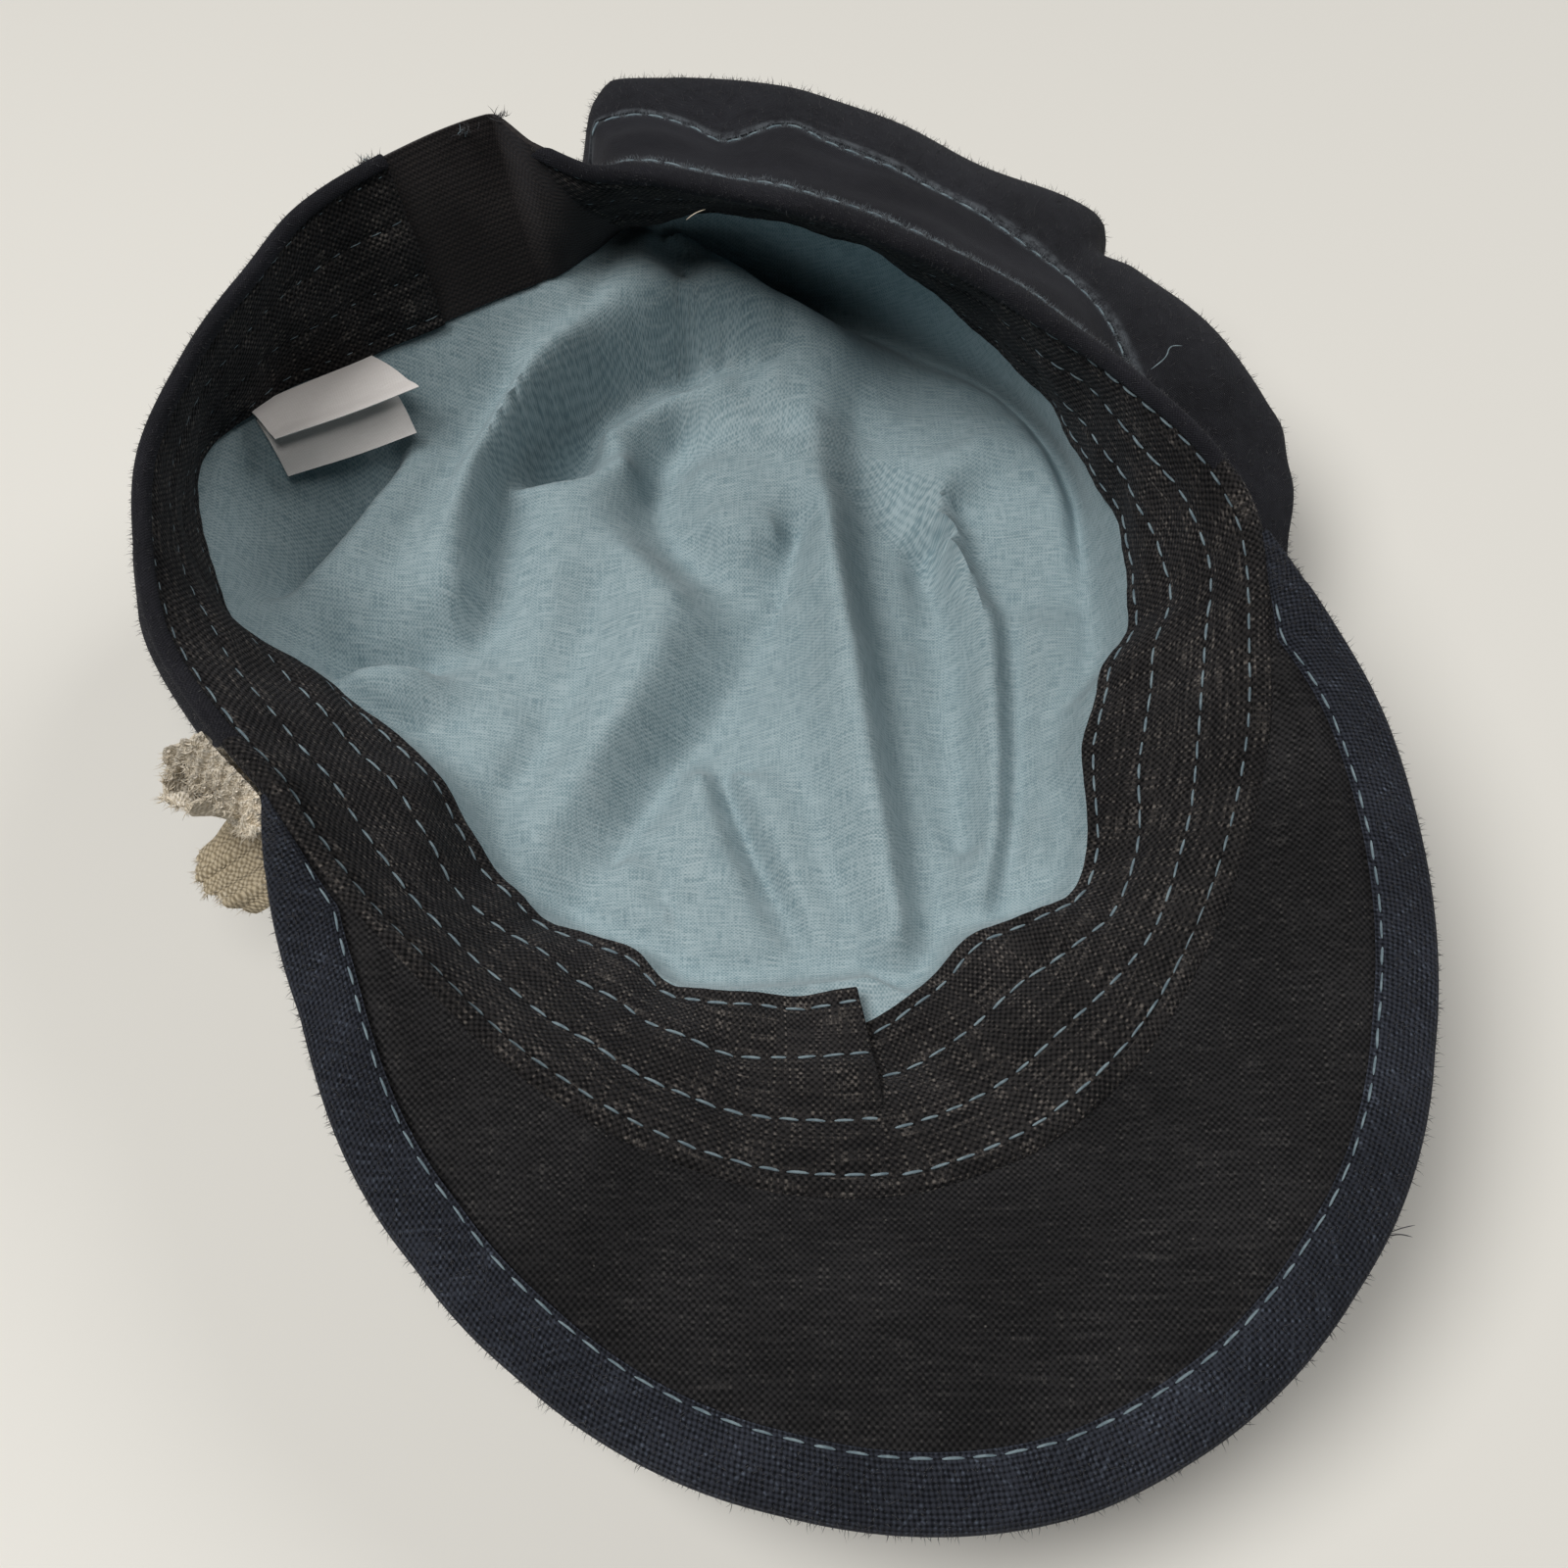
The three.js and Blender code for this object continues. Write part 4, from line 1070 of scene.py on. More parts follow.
@dataclass
class Sweatband:
    """Inner headband: two overlapping strips with four sewn channels."""

    opening: HeadOpening
    cloth: float = 1.2
    channels: tuple[float, ...] = (0.08, 0.34, 0.655, 0.93)
    channel_depth: float = 0.4
    channel_width: float = 1.1
    tuck_bearing: float = -5.1
    tuck_lean: float = 2.2
    tuck_lift: float = 1.1
    flap_open: tuple[float, float] = (0.36, 0.62)
    lift_reach: float = 14.0
    sewn_sink: float = 0.45
    sink_reach: float = 2.5
    press: float = 0.5
    press_reach: tuple[float, float] = (-7.0, -1.0)
    under_sink: float = 0.9
    under_reach: tuple[float, float] = (0.4, 3.0)
    under_start: float = -17.0
    pucker: float = 0.1
    pucker_pitch: float = 4.3
    pucker_width: float = 2.2
    rounding: float = 0.4
    left_hem: tuple[tuple[float, float], ...] = ((-31, 65), (-16, 66), (-5, 67), (8, 68))
    right_hem: tuple[tuple[float, float], ...] = ((-31, 76), (-16, 75), (-5, 72.5), (3, 70))
    wave: Ripple = field(default_factory=lambda: Ripple(3, 42.0, 0.7))

    def __post_init__(self) -> None:
        """Makes each side's own hem line through the tuck."""
        self.hem_radius = {
            TuckSide.LEFT: self.hem_curve(self.left_hem),
            TuckSide.RIGHT: self.hem_curve(self.right_hem),
        }

    @staticmethod
    def hem_curve(changed: Sequence[Sequence[float]]) -> Around:
        """The hem's radius with the rows near the tuck replaced."""
        low = changed[0][0]
        high = changed[-1][0]
        kept = [(row[0], row[3]) for row in RIM_ROWS if not low <= row[0] <= high]
        rows = np.array(sorted(kept + [tuple(row) for row in changed]), float)
        return Around(rows[:, 0], rows[:, 1])

    def ruled(self, side: TuckSide, bearing: Values, share: Values) -> Points:
        """Points straight between the rim and one side's hem."""
        hem = place(bearing, self.hem_radius[side](bearing), self.opening.hem_height(bearing))
        return mix(self.opening.rim(bearing), hem, share[..., None])

    def face(self, side: TuckSide, bearing: Values, share: Values) -> tuple[Points, Points]:
        """The sweatband's inner face.

        Args:
            side: Which of its two parts.
            bearing: Bearings round the cap.
            share: Shares of the way from the rim to the hem.

        Returns:
            Points of the face, and the directions that it faces.
        """
        step = 0.4
        beside = self.ruled(side, bearing + step, share) - self.ruled(side, bearing - step, share)
        ahead = self.ruled(side, bearing, share + 0.01) - self.ruled(side, bearing, share - 0.01)
        inward = unit(np.cross(beside, ahead))
        width = np.linalg.norm(
            self.ruled(side, bearing, np.ones_like(share)) - self.opening.rim(bearing), axis=-1
        )
        travel = np.radians(bearing) * BAND_RADIUS
        rise = np.full(np.broadcast(bearing, share).shape, SEAM_GAP + self.cloth)
        for channel in self.channels:
            off = (share - channel) * width
            rise = rise - self.channel_depth * bell(off, self.channel_width)
            ripple = np.sin(2.0 * np.pi * travel / self.pucker_pitch + 9.0 * channel)
            rise = rise + self.pucker * ripple * bell(off, self.pucker_width)
        rise = rise + self.wave(travel, share * width) * ramp(share, 0.0, 0.7)
        rise = rise + self.tuck_rise(side, bearing, share)
        return self.ruled(side, bearing, share) + inward * rise[..., None], inward

    def tuck_end(self, share: Values) -> Values:
        """The bearing of the flap's end at shares down the band."""
        return self.tuck_bearing - self.tuck_lean * (1.0 - share)

    def tuck_rise(self, side: TuckSide, bearing: Values, share: Values) -> Values:
        """How far the flap stands up, and how far the part under it is pressed down."""
        behind = self.tuck_end(share) - bearing
        open_share = ramp(share, *self.flap_open)
        if side is TuckSide.LEFT:
            lifted = self.tuck_lift * open_share * (1.0 - ramp(behind, 0.0, self.lift_reach))
            sunk = self.sewn_sink * (1.0 - open_share) * (1.0 - ramp(behind, 0.0, self.sink_reach))
            return lifted - sunk
        pressed = -self.press * ramp(behind, *self.press_reach) * open_share
        hidden = -self.under_sink * ramp(behind, *self.under_reach)
        return pressed + hidden

    def ends(self, side: TuckSide, share: Values) -> tuple[Values, Values]:
        """The bearings where one part begins and ends."""
        if side is TuckSide.LEFT:
            return band_start(share), self.tuck_end(share)
        return self.under_start + 0.0 * share, band_end(share)

    def build(self, wardrobe: Wardrobe) -> None:
        """Builds and dresses the two strips."""
        finish = (wardrobe.black, "black_weave")
        for side, steps in ((TuckSide.LEFT, (420, 56)), (TuckSide.RIGHT, (520, 56))):

            def surface(along: Values, across: Values, side: TuckSide = side) -> Points:
                """Points of this side's inner face."""
                start, end = self.ends(side, across)
                return self.face(side, mix(start, end, along), across)[0]

            name = f"sweatband_{side.value}"
            sew_piece(name, steps, surface, self.cloth, finish, ["sweatband"], rounding=self.rounding)


@dataclass
class OuterBand:
    """Outer headband: rolled over the rim and sewn to the crown's seam."""

    opening: HeadOpening
    cloth: float = 1.1
    roll_share: float = 0.2
    roll_reach: float = 1.6
    roll_top: float = 1.4
    inner_stand: float = 1.85
    outer_stand: float = 1.3
    rounding: float = 0.3
    groove_depth: float = 0.35
    groove_place: float = 2.6
    groove_width: float = 0.9
    ease: float = 2.2
    ease_bearing: float = -140.0
    ease_width: float = 38.0
    stitch_rows: tuple[float, float] = (0.27, 0.97)
    worn_from: tuple[float, float] = (70.0, 105.0)
    faded_bearing: float = -112.0
    faded_width: float = 32.0
    facing_left: float = -84.0
    facing_right: float = 82.0
    facing_end: float = 0.02
    facing_cloth: float = 0.25
    facing_gap: float = 0.1
    wave: Ripple = field(default_factory=lambda: Ripple(5, 46.0, 0.8))
    rub: Ripple = field(default_factory=lambda: Ripple(17, 7.0, 0.5))

    def frame_at(self, bearing: Values) -> tuple[Points, Points, Points, Points, Points]:
        """Directions of the two headbands at the rim.

        Args:
            bearing: Bearings round the cap.

        Returns:
            The rim's points, the ways down the inner and the outer band, and the ways that they face.
        """
        rim = self.opening.rim(bearing)
        along = self.opening.along(bearing)
        down_in = unit(self.opening.hem(bearing) - rim)
        down_out = unit(self.opening.seam(bearing) - rim)
        face_in = unit(np.cross(along, down_in))
        face_out = unit(np.cross(down_out, along))
        return rim, down_in, down_out, face_in, face_out

    def face(self, bearing: Values, across: Values) -> Points:
        """Points of the visible face, from inside the rim, over it and down to the seam."""
        rim, down_in, down_out, face_in, face_out = self.frame_at(bearing)
        turn = np.clip(across / self.roll_share, 0.0, 1.0)[..., None]
        corner_in = rim + down_in * self.roll_reach + face_in * self.inner_stand
        above_in = rim - down_in * self.roll_top + face_in * self.inner_stand
        above_out = rim - down_out * self.roll_top + face_out * self.outer_stand
        corner_out = rim + down_out * self.roll_reach + face_out * self.outer_stand
        rolled = cubic(corner_in, above_in, above_out, corner_out, turn)
        share = np.clip((across - self.roll_share) / (1.0 - self.roll_share), 0.0, 1.0)
        seam = self.opening.seam(bearing) + face_out * self.outer_stand
        width = np.linalg.norm(seam - corner_out, axis=-1)
        rise = self.wave(np.radians(bearing) * BAND_RADIUS, share * width) * np.sin(np.pi * share)
        rise = rise - self.groove_depth * bell(share * width - self.groove_place, self.groove_width)
        eased = self.ease * bell(bearing - self.ease_bearing, self.ease_width)
        rise = rise + eased * np.sin(np.pi * share)
        flat = mix(corner_out, seam, share[..., None]) + face_out * rise[..., None]
        return np.where((across < self.roll_share)[..., None], rolled, flat)

    def facing(self, along: Values, across: Values) -> Points:
        """Points of the black facing over the front of the roll, where the peak is sewn on."""

        def roll(along: Values, across: Values) -> Points:
            """Points of the roll below the facing."""
            return self.face(mix(self.facing_left, self.facing_right, along), across * self.roll_share)

        stand = self.facing_cloth + self.facing_gap
        rise = stand * ramp(along, 0.0, self.facing_end) * ramp(1.0 - along, 0.0, self.facing_end)
        return roll(along, across) - surface_normals(roll, along, across) * rise[..., None]

    def strip(self, along: Values, across: Values) -> Points:
        """Points of the visible face between its two slanted ends."""
        return self.face(mix(band_start(across), outer_end(across), along), across)

    def wear(self, along: Values, across: Values) -> Values:
        """How worn the cloth is: along its stitched edges at the right, and a little at the left."""
        bearing = mix(band_start(across), outer_end(across), along)
        shown = ramp(bearing, *self.worn_from)
        left = bell(bearing - self.faded_bearing, self.faded_width)
        patchy = np.clip(0.55 + self.rub(bearing, 40.0 * across), 0.1, 1.0)
        upper, lower = self.stitch_rows
        edges = 0.6 * bell(across - upper, 0.035) + 0.4 * bell(across - lower, 0.04)
        worn = 0.02 + shown * patchy * edges
        return np.clip(worn + 0.2 * left * ramp(across, 0.15, 0.3), 0.0, 1.0)

    def build(self, wardrobe: Wardrobe) -> None:
        """Builds and dresses the strip, with its worn edges, and the facing over its front."""
        steps = (560, 48)
        strip = cloth_grid("outer_band", *steps, self.strip, flip=True)
        paint(strip, "wear", self.wear(*grid_shares(strip, *steps)))
        thicken(strip, self.cloth, self.rounding)
        finish_piece(strip, wardrobe.navy, "navy_cotton", ["band"])
        finish = (wardrobe.black, "black_weave")
        sew_piece("rim_facing", (420, 14), self.facing, self.facing_cloth, finish, flip=True)


@dataclass
class ElasticInsert:
    """Plain elastic between the two ends of the headbands."""

    opening: HeadOpening
    cloth: float = 1.2
    width: float = 33.0
    rib: float = 1.1
    rib_height: float = 0.06
    right_overlap: float = 2.0
    left_overlap: float = 1.5
    rounding: float = 0.35

    def face(self, bearing: Values, share: Values) -> Points:
        """Points of its inner face."""
        line = mix(self.opening.rim(bearing), self.opening.hem(bearing), share[..., None])
        travel = share * self.width
        rise = self.cloth / 2 + self.rib_height * np.sin(2.0 * np.pi * travel / self.rib)
        return line + self.opening.inward(bearing) * rise[..., None]

    def strip(self, along: Values, across: Values) -> Points:
        """Points between the right end's slant and the left seam."""
        start = ELASTIC_RIGHT - FULL_TURN - ELASTIC_SLANT * across
        return self.face(mix(start - self.right_overlap, ELASTIC_LEFT + self.left_overlap, along), across)

    def build(self, wardrobe: Wardrobe) -> None:
        """Builds and dresses the insert."""
        finish = (wardrobe.elastic, "elastic_knit")
        sew_piece(
            "elastic_insert", (60, 120), self.strip, self.cloth, finish, ["elastic"], rounding=self.rounding
        )


@dataclass
class Crown:
    """Soft crown: one wall from the band's seam, round its bulge and across the floor."""

    opening: HeadOpening
    cloth: float = 1.2
    band_cloth: float = 1.4
    side_share: float = 0.8
    side_length: float = 60.0
    join_gap: float = 0.02
    wear: float = 0.04
    seam_wear: float = 0.7
    flap_left: float = -184.0
    flap_right: float = -154.0
    flap_top: float = 0.7
    flap_stand: float = 1.3
    flap_inset: float = 1.2
    flap_depth: float = 2.5
    flap_bow: float = 0.8
    wave: Ripple = field(default_factory=lambda: Ripple(8, 60.0, 1.2))

    def __post_init__(self) -> None:
        """Reads the section tables."""
        self.bulge_radius = round_cap(CROWN_ROWS, 3)
        self.bulge_height = round_cap(CROWN_ROWS, 4)
        self.foot_radius = round_cap(CROWN_ROWS, 5)

    @staticmethod
    def pleats(bearing: Values, down: Values) -> Values:
        """How far the side is drawn in by its pleats."""
        total = np.zeros(np.broadcast(bearing, down).shape)
        for middle, half_width, depth, lean in PLEAT_ROWS:
            off = np.abs(turned_from(middle + lean * down, bearing)) / half_width
            shape = np.where(off < 1.0, 0.5 + 0.5 * np.cos(np.pi * np.minimum(off, 1.0)), 0.0)
            total = total + depth * shape * np.sin(np.pi * np.minimum(down, 1.0))
        return total

    def start(self, bearing: Values) -> tuple[Values, Values]:
        """Radius and height where the wall starts, just past the band's lower edge."""
        opening = self.opening
        return opening.past(bearing, opening.seam_radius, opening.seam_height, self.band_cloth)

    def face(self, bearing: Values, across: Values) -> Points:
        """Points of the outer face, from the seam to the middle of the floor."""
        start_r, start_z = self.start(bearing)
        wide_r = self.bulge_radius(bearing)
        wide_z = self.bulge_height(bearing)
        foot_r = self.foot_radius(bearing)
        down = np.clip(across / self.side_share, 0.0, 1.0)
        upper = np.clip(down * 2.0, 0.0, 1.0)
        lower = np.clip(down * 2.0 - 1.0, 0.0, 1.0)
        upper_r = cubic(start_r, mix(start_r, wide_r, 0.4), wide_r, wide_r, upper)
        upper_z = cubic(start_z, mix(start_z, wide_z, 0.1), mix(wide_z, start_z, 0.55), wide_z, upper)
        lower_r = cubic(wide_r, wide_r, mix(foot_r, wide_r, 0.55), foot_r, lower)
        lower_z = cubic(wide_z, mix(wide_z, 0.0, 0.55), 0.0 * wide_z, 0.0 * wide_z, lower)
        first = down < 0.5
        radius = np.where(first, upper_r, lower_r) - self.pleats(bearing, down)
        height = np.where(first, upper_z, lower_z)
        travel = np.radians(bearing) * CROWN_RADIUS
        soft = self.wave(travel, down * self.side_length) * np.sin(np.pi * down)
        inside = np.clip((across - self.side_share) / (1.0 - self.side_share), 0.0, 1.0)
        return place(bearing, (radius + soft) * (1.0 - inside), height)

    def flap(self, along: Values, across: Values) -> Points:
        """Points of the crown's edge behind the elastic, up from inside the seam."""
        bearing = mix(self.flap_left, self.flap_right, along)
        inward = self.opening.inward(bearing)
        top = mix(self.opening.rim(bearing), self.opening.hem(bearing), self.flap_top)
        top = top - inward * self.flap_stand
        start_r, start_z = self.start(bearing)
        foot = place(bearing, start_r - self.flap_inset, start_z - self.flap_depth)
        bow = self.flap_bow * np.sin(np.pi * across)
        return mix(top, foot, across[..., None]) - inward * bow[..., None]

    def wall(self, along: Values, across: Values) -> Points:
        """Points of the outer face round the whole cap."""
        return self.face(FULL_TURN * along - HALF_TURN, across)

    def build(self, wardrobe: Wardrobe) -> None:
        """Builds and dresses the wall, pale where it is worn beside the seam, and the flap at the back."""
        steps = (480, 72)
        wall = cloth_grid("crown_wall", *steps, self.wall, flip=True)
        across = grid_shares(wall, *steps)[1]
        paint(wall, "wear", self.wear + bell(across - 0.008, 0.012) * self.seam_wear)
        edit_mesh(wall, bpy.ops.mesh.remove_doubles, threshold=self.join_gap * MM)
        thicken(wall, self.cloth)
        finish_piece(wall, wardrobe.navy, "navy_cotton", ["crown"])
        flap = cloth_grid("crown_back_flap", 90, 24, self.flap, flip=True)
        paint(flap, "wear", np.full(len(flap.data.vertices), self.wear))
        thicken(flap, self.cloth)
        finish_piece(flap, wardrobe.navy, "navy_cotton")


def dense_line(spots: Sequence[Sequence[float]], spacing: float) -> Points:
    """Closely spaced places along a line of places."""
    line = np.array(spots, float)
    travel = np.concatenate([[0.0], np.cumsum(np.linalg.norm(np.diff(line[:, :2], axis=0), axis=-1))])
    marks = np.linspace(0.0, travel[-1], max(2, int(travel[-1] / spacing) + 1))
    return np.stack([np.interp(marks, travel, line[:, axis]) for axis in range(3)], axis=-1)


@dataclass
class Lining:
    """Crumpled lining that hangs from the sweatband's hem and lies on the crown."""

    opening: HeadOpening
    cloth: float = 0.5
    floor: float = 4.0
    lowest: float = 2.6
    belly_share: float = 0.6
    softness: float = 1.0
    spacing: float = 2.6
    steps: int = 208
    stiffness: float = 0.12
    ring_step: float = 4.0
    ring_inset: float = 0.08
    ring_clear: float = 9.0
    low_belly: float = 4.0
    full_belly: float = 14.0
    blend_starts: tuple[float, float, float] = (0.8, 0.76, 0.94)
    blend_widths: tuple[float, float, float] = (0.18, 0.11, 0.06)
    tuck_share: float = 0.1
    tuck_length: float = 5.0
    front_length: float = 6.0
    front_bearing: float = -3.0
    front_width: float = 7.0
    tongue_bearing: float = 176.0
    tongue_width: float = 9.0
    wrinkle: Ripple = field(default_factory=lambda: Ripple(11, 24.0, 0.2, count=12))

    def __post_init__(self) -> None:
        """Fits the folds' surface through the fold lines and a ring near the hem."""
        self.belly = round_cap(LINING_ROWS, 1)
        self.fall = round_cap(LINING_ROWS, 2)
        lines = np.concatenate([dense_line(line, self.spacing) for line in FOLD_LINES.values()])
        ring_bearing = np.arange(-HALF_TURN, HALF_TURN, self.ring_step)
        ring_share = self.hem_blend(ring_bearing, self.blend_starts) + self.ring_inset
        ring = self.plain(ring_bearing, ring_share)
        apart = np.linalg.norm(ring[:, None, :2] - lines[None, :, :2], axis=-1).min(axis=1)
        ring = ring[apart > self.ring_clear]
        self.knots = np.concatenate([lines[:, :2], ring[:, :2]])
        levels = np.concatenate([lines[:, 2], ring[:, 2]])
        self.mean = levels.mean()
        kernel = self.kernel(self.knots) - self.stiffness * np.eye(len(levels))
        self.weights = np.linalg.solve(kernel, levels - self.mean)

    def kernel(self, spots: Values) -> Values:
        """How much each knot counts at places on the floor."""
        gaps = spots[:, None, :] - self.knots[None, :, :]
        return np.sqrt((gaps**2).sum(axis=-1) + self.softness**2)

    def hem_blend(self, bearing: Values, measures: tuple[float, float, float]) -> Values:
        """A measure of how the folds give way to the plain wall near the hem.

        Args:
            bearing: Bearings round the cap.
            measures: Its value where the lining falls straight, where it bellies out and at the tongue.

        Returns:
            The measure at each bearing.
        """
        straight, full, tongue = measures
        belly = ramp(self.belly(bearing), self.low_belly, self.full_belly)
        at_tongue = bell(turned_from(self.tongue_bearing, bearing), self.tongue_width)
        return mix(mix(straight, full, belly), tongue, at_tongue)

    def plain(self, bearing: Values, share: Values) -> Points:
        """Places on the lining before its folds, at shares of the way from the middle to the hem."""
        edge_r, edge_z = self.opening.past(bearing, self.opening.hem_radius, self.opening.hem_height)
        out = np.clip((1.0 - share) / (1.0 - self.belly_share), 0.0, 1.0)
        radius = edge_r * share + self.belly(bearing) * np.sin(np.pi * out)
        climb = np.clip(share, 0.0, 1.0) ** self.fall(bearing)
        return place(bearing, radius, mix(self.floor, edge_z, climb))

    def face(self, bearing: Values, share: Values) -> Points:
        """Points of the upper face with its folds, and past the hem those behind the sweatband."""
        inside = np.minimum(share, 1.0)
        spots = self.plain(bearing, inside)
        folded = np.concatenate([
            self.kernel(part[:, :2]) @ self.weights + self.mean for part in np.array_split(spots, 32)
        ])
        folded = folded + self.wrinkle(spots[:, 0], spots[:, 1])
        start = self.hem_blend(bearing, self.blend_starts)
        width = self.hem_blend(bearing, self.blend_widths)
        height = mix(folded, spots[:, 2], ramp((inside - start) / width, 0.0, 1.0))
        made = np.column_stack([spots[:, :2], np.maximum(height, self.lowest)])
        rim = self.opening.rim(bearing)
        hem = self.opening.hem(bearing)
        behind = np.cross(hem - rim, self.opening.rim(bearing + 0.5) - rim)
        over = np.maximum(share - 1.0, 0.0) / self.tuck_share
        front = bell(turned_from(self.front_bearing, bearing), self.front_width)
        tucked = over * (self.tuck_length + self.front_length * front)
        return made + unit(rim - hem) * tucked[:, None] + unit(behind) * ramp(over, 0.0, 0.3)[:, None]

    def flat(self, bearing: Values, share: Values) -> Values:
        """Places of the cloth laid flat: the length from the middle to each point, at its bearing."""
        marks = np.linspace(0.0, 1.0, 40)[:, None] * share[None, :]
        path = self.plain(np.broadcast_to(bearing, marks.shape), marks)
        length = np.linalg.norm(np.diff(path, axis=0), axis=-1).sum(axis=0)
        return place(bearing, length, 0.0)[:, :2]

    @staticmethod
    def disc(along: Values, across: Values) -> tuple[Values, Values]:
        """Bearings and shares of a square grid drawn out to a round outline."""
        side = 2.0 * along - 1.0
        rise = 2.0 * across - 1.0
        wide = np.abs(side) > np.abs(rise)
        radius = np.where(wide, side, rise)
        part = np.where(wide, rise, side) / np.where(radius == 0.0, 1.0, radius)
        angle = np.where(wide, 45.0 * part, 90.0 - 45.0 * part)
        heading = np.where(radius < 0.0, angle + HALF_TURN, angle)
        return heading + 90.0, np.abs(radius)

    def build(self, wardrobe: Wardrobe) -> None:
        """Builds and dresses the lining."""

        def surface(along: Values, across: Values) -> Points:
            """Points of a square grid that fills the round outline."""
            bearing, share = self.disc(along, across)
            return self.face(bearing, share * (1.0 + self.tuck_share))

        sheet = cloth_grid("lining_cloth", self.steps, self.steps, surface)
        bearing, share = self.disc(*grid_shares(sheet, self.steps, self.steps))
        lay_flat(sheet, self.flat(bearing, share))
        thicken(sheet, self.cloth)
        finish_piece(sheet, wardrobe.teal, "teal_lining", ["lining"])


@dataclass
class Peak:
    """The peak: its underside on top as the cap lies, its cover below and a bias binding round its edge."""

    opening: HeadOpening
    left: float = -79.0
    right: float = 75.0
    depth: float = 50.0
    skew: float = 0.05
    fullness: float = 1.48
    tip_height: float = 30.0
    end_height: float = 57.0
    lift: float = 1.6
    end_share: float = 0.985
    camber: float = 2.5
    hem_width: float = 8.0
    hem_most: float = 0.85
    inset: float = 2.625
    middle: float = -0.275
    half_binding: float = 2.5
    start_gap: float = 0.5
    stand: float = 1.0
    welt: float = 0.45
    welt_place: float = 3.6
    welt_width: float = 1.6
    crease: float = 0.35
    crease_place: float = 0.3
    crease_width: float = 1.0
    leg: float = 0.4
    swell: float = 0.35
    sewn_down: float = 0.75
    cover_stand: float = 1.55
    underside_cloth: float = 1.0
    cover_cloth: float = 1.1
    binding_cloth: float = 0.9
    wave: Ripple = field(default_factory=lambda: Ripple(17, 55.0, 0.25))

    def point(self, along: Values, out: Values) -> Points:
        """Places on the middle surface, along the peak from end to end and out from its seam."""
        span = self.end_share * (2.0 * along - 1.0)
        bearing = mix(self.left, self.right, (span + 1.0) / 2.0)
        seam = self.opening.rim(bearing)
        tangent = self.opening.rim(bearing + 1.0) - self.opening.rim(bearing - 1.0)
        away = unit(np.stack([tangent[..., 1], -tangent[..., 0], 0.0 * span], axis=-1))
        depth = self.depth * (1.0 + self.skew * span) * (1.0 - np.abs(span) ** self.fullness)
        edge = seam + away * depth[..., None]
        edge[..., 2] = mix(self.tip_height, self.end_height, np.abs(span) ** self.lift)
        start = seam + away * np.minimum(self.start_gap, 0.3 * depth)[..., None]
        length = np.linalg.norm(edge - start, axis=-1)
        reach = out * (1.0 - np.minimum(self.inset / length, 0.4))
        made = mix(start, edge, reach[..., None])
        made[..., 2] += self.camber * (depth / self.depth) * np.sin(np.pi * out)
        return made

    def taper(self, along: Values) -> Values:
        """How far the peak has its full thickness, less at its two pointed ends."""
        return np.minimum(1.0, 0.25 + (1.0 - np.abs(2.0 * along - 1.0)) * 9.0)

    def normal(self, along: Values, out: Values) -> Points:
        """The peak's upward directions."""
        return surface_normals(self.point, along, out) * -1.0

    def hem_share(self, along: Values) -> Values:
        """The share of the peak's reach that the binding covers."""
        reach = self.point(along, np.ones_like(along)) - self.point(along, np.zeros_like(along))
        length = np.linalg.norm(reach, axis=-1)
        return np.minimum(self.hem_width / length, self.hem_most)

    def top(self, along: Values, out: Values) -> Points:
        """Points of the underside's visible face, with the welt just inside the binding."""
        share = self.hem_share(along)
        length = self.hem_width / share
        inside = (1.0 - share - out) * length
        rise = self.stand + self.welt * bell(inside - self.welt_place, self.welt_width)
        rise = rise - self.crease * bell(inside - self.crease_place, self.crease_width)
        spots = self.point(along, out)
        rise = rise * self.taper(along) + self.wave(spots[..., 0], out * self.depth)
        return spots + self.normal(along, out) * rise[..., None]

    def wrap(self, along: Values, around: Values) -> Points:
        """Points of the binding, from its inner edge on top, round the nose, to its inner edge below."""
        share = self.hem_share(along)
        one = np.ones_like(along)
        edge = self.point(along, one)
        up = self.normal(along, 0.985 * one)
        away = unit(edge - self.point(along, one - share))
        leg = self.leg
        nose_angle = np.pi * (0.5 - np.clip((around - leg) / (1.0 - 2.0 * leg), 0.0, 1.0))
        half = self.half_binding * self.taper(along)
        nose = (
            edge
            + away * (half * np.cos(nose_angle))[..., None]
            + up * (self.middle + half * np.sin(nose_angle))[..., None]
        )
        upper = around < 0.5
        back = np.where(upper, 1.0 - around / leg, (around - 1.0 + leg) / leg)
        back = np.clip(back, 0.0, 1.0)
        out = 1.0 - share * back
        side = np.where(upper, 1.0, -1.0)
        bulge = self.swell * np.sin(np.pi * back) - self.sewn_down * ramp(back, 0.75, 1.0)
        rise = self.middle + side * (half + bulge * self.taper(along))
        legs = self.point(along, out) + self.normal(along, out) * rise[..., None]
        on_leg = (around < leg) | (around > 1.0 - leg)
        return np.where(on_leg[..., None], legs, nose)

    def bottom(self, along: Values, out: Values) -> Points:
        """Points of the cover's lower face."""
        return self.point(along, out) - self.normal(along, out) * self.cover_stand

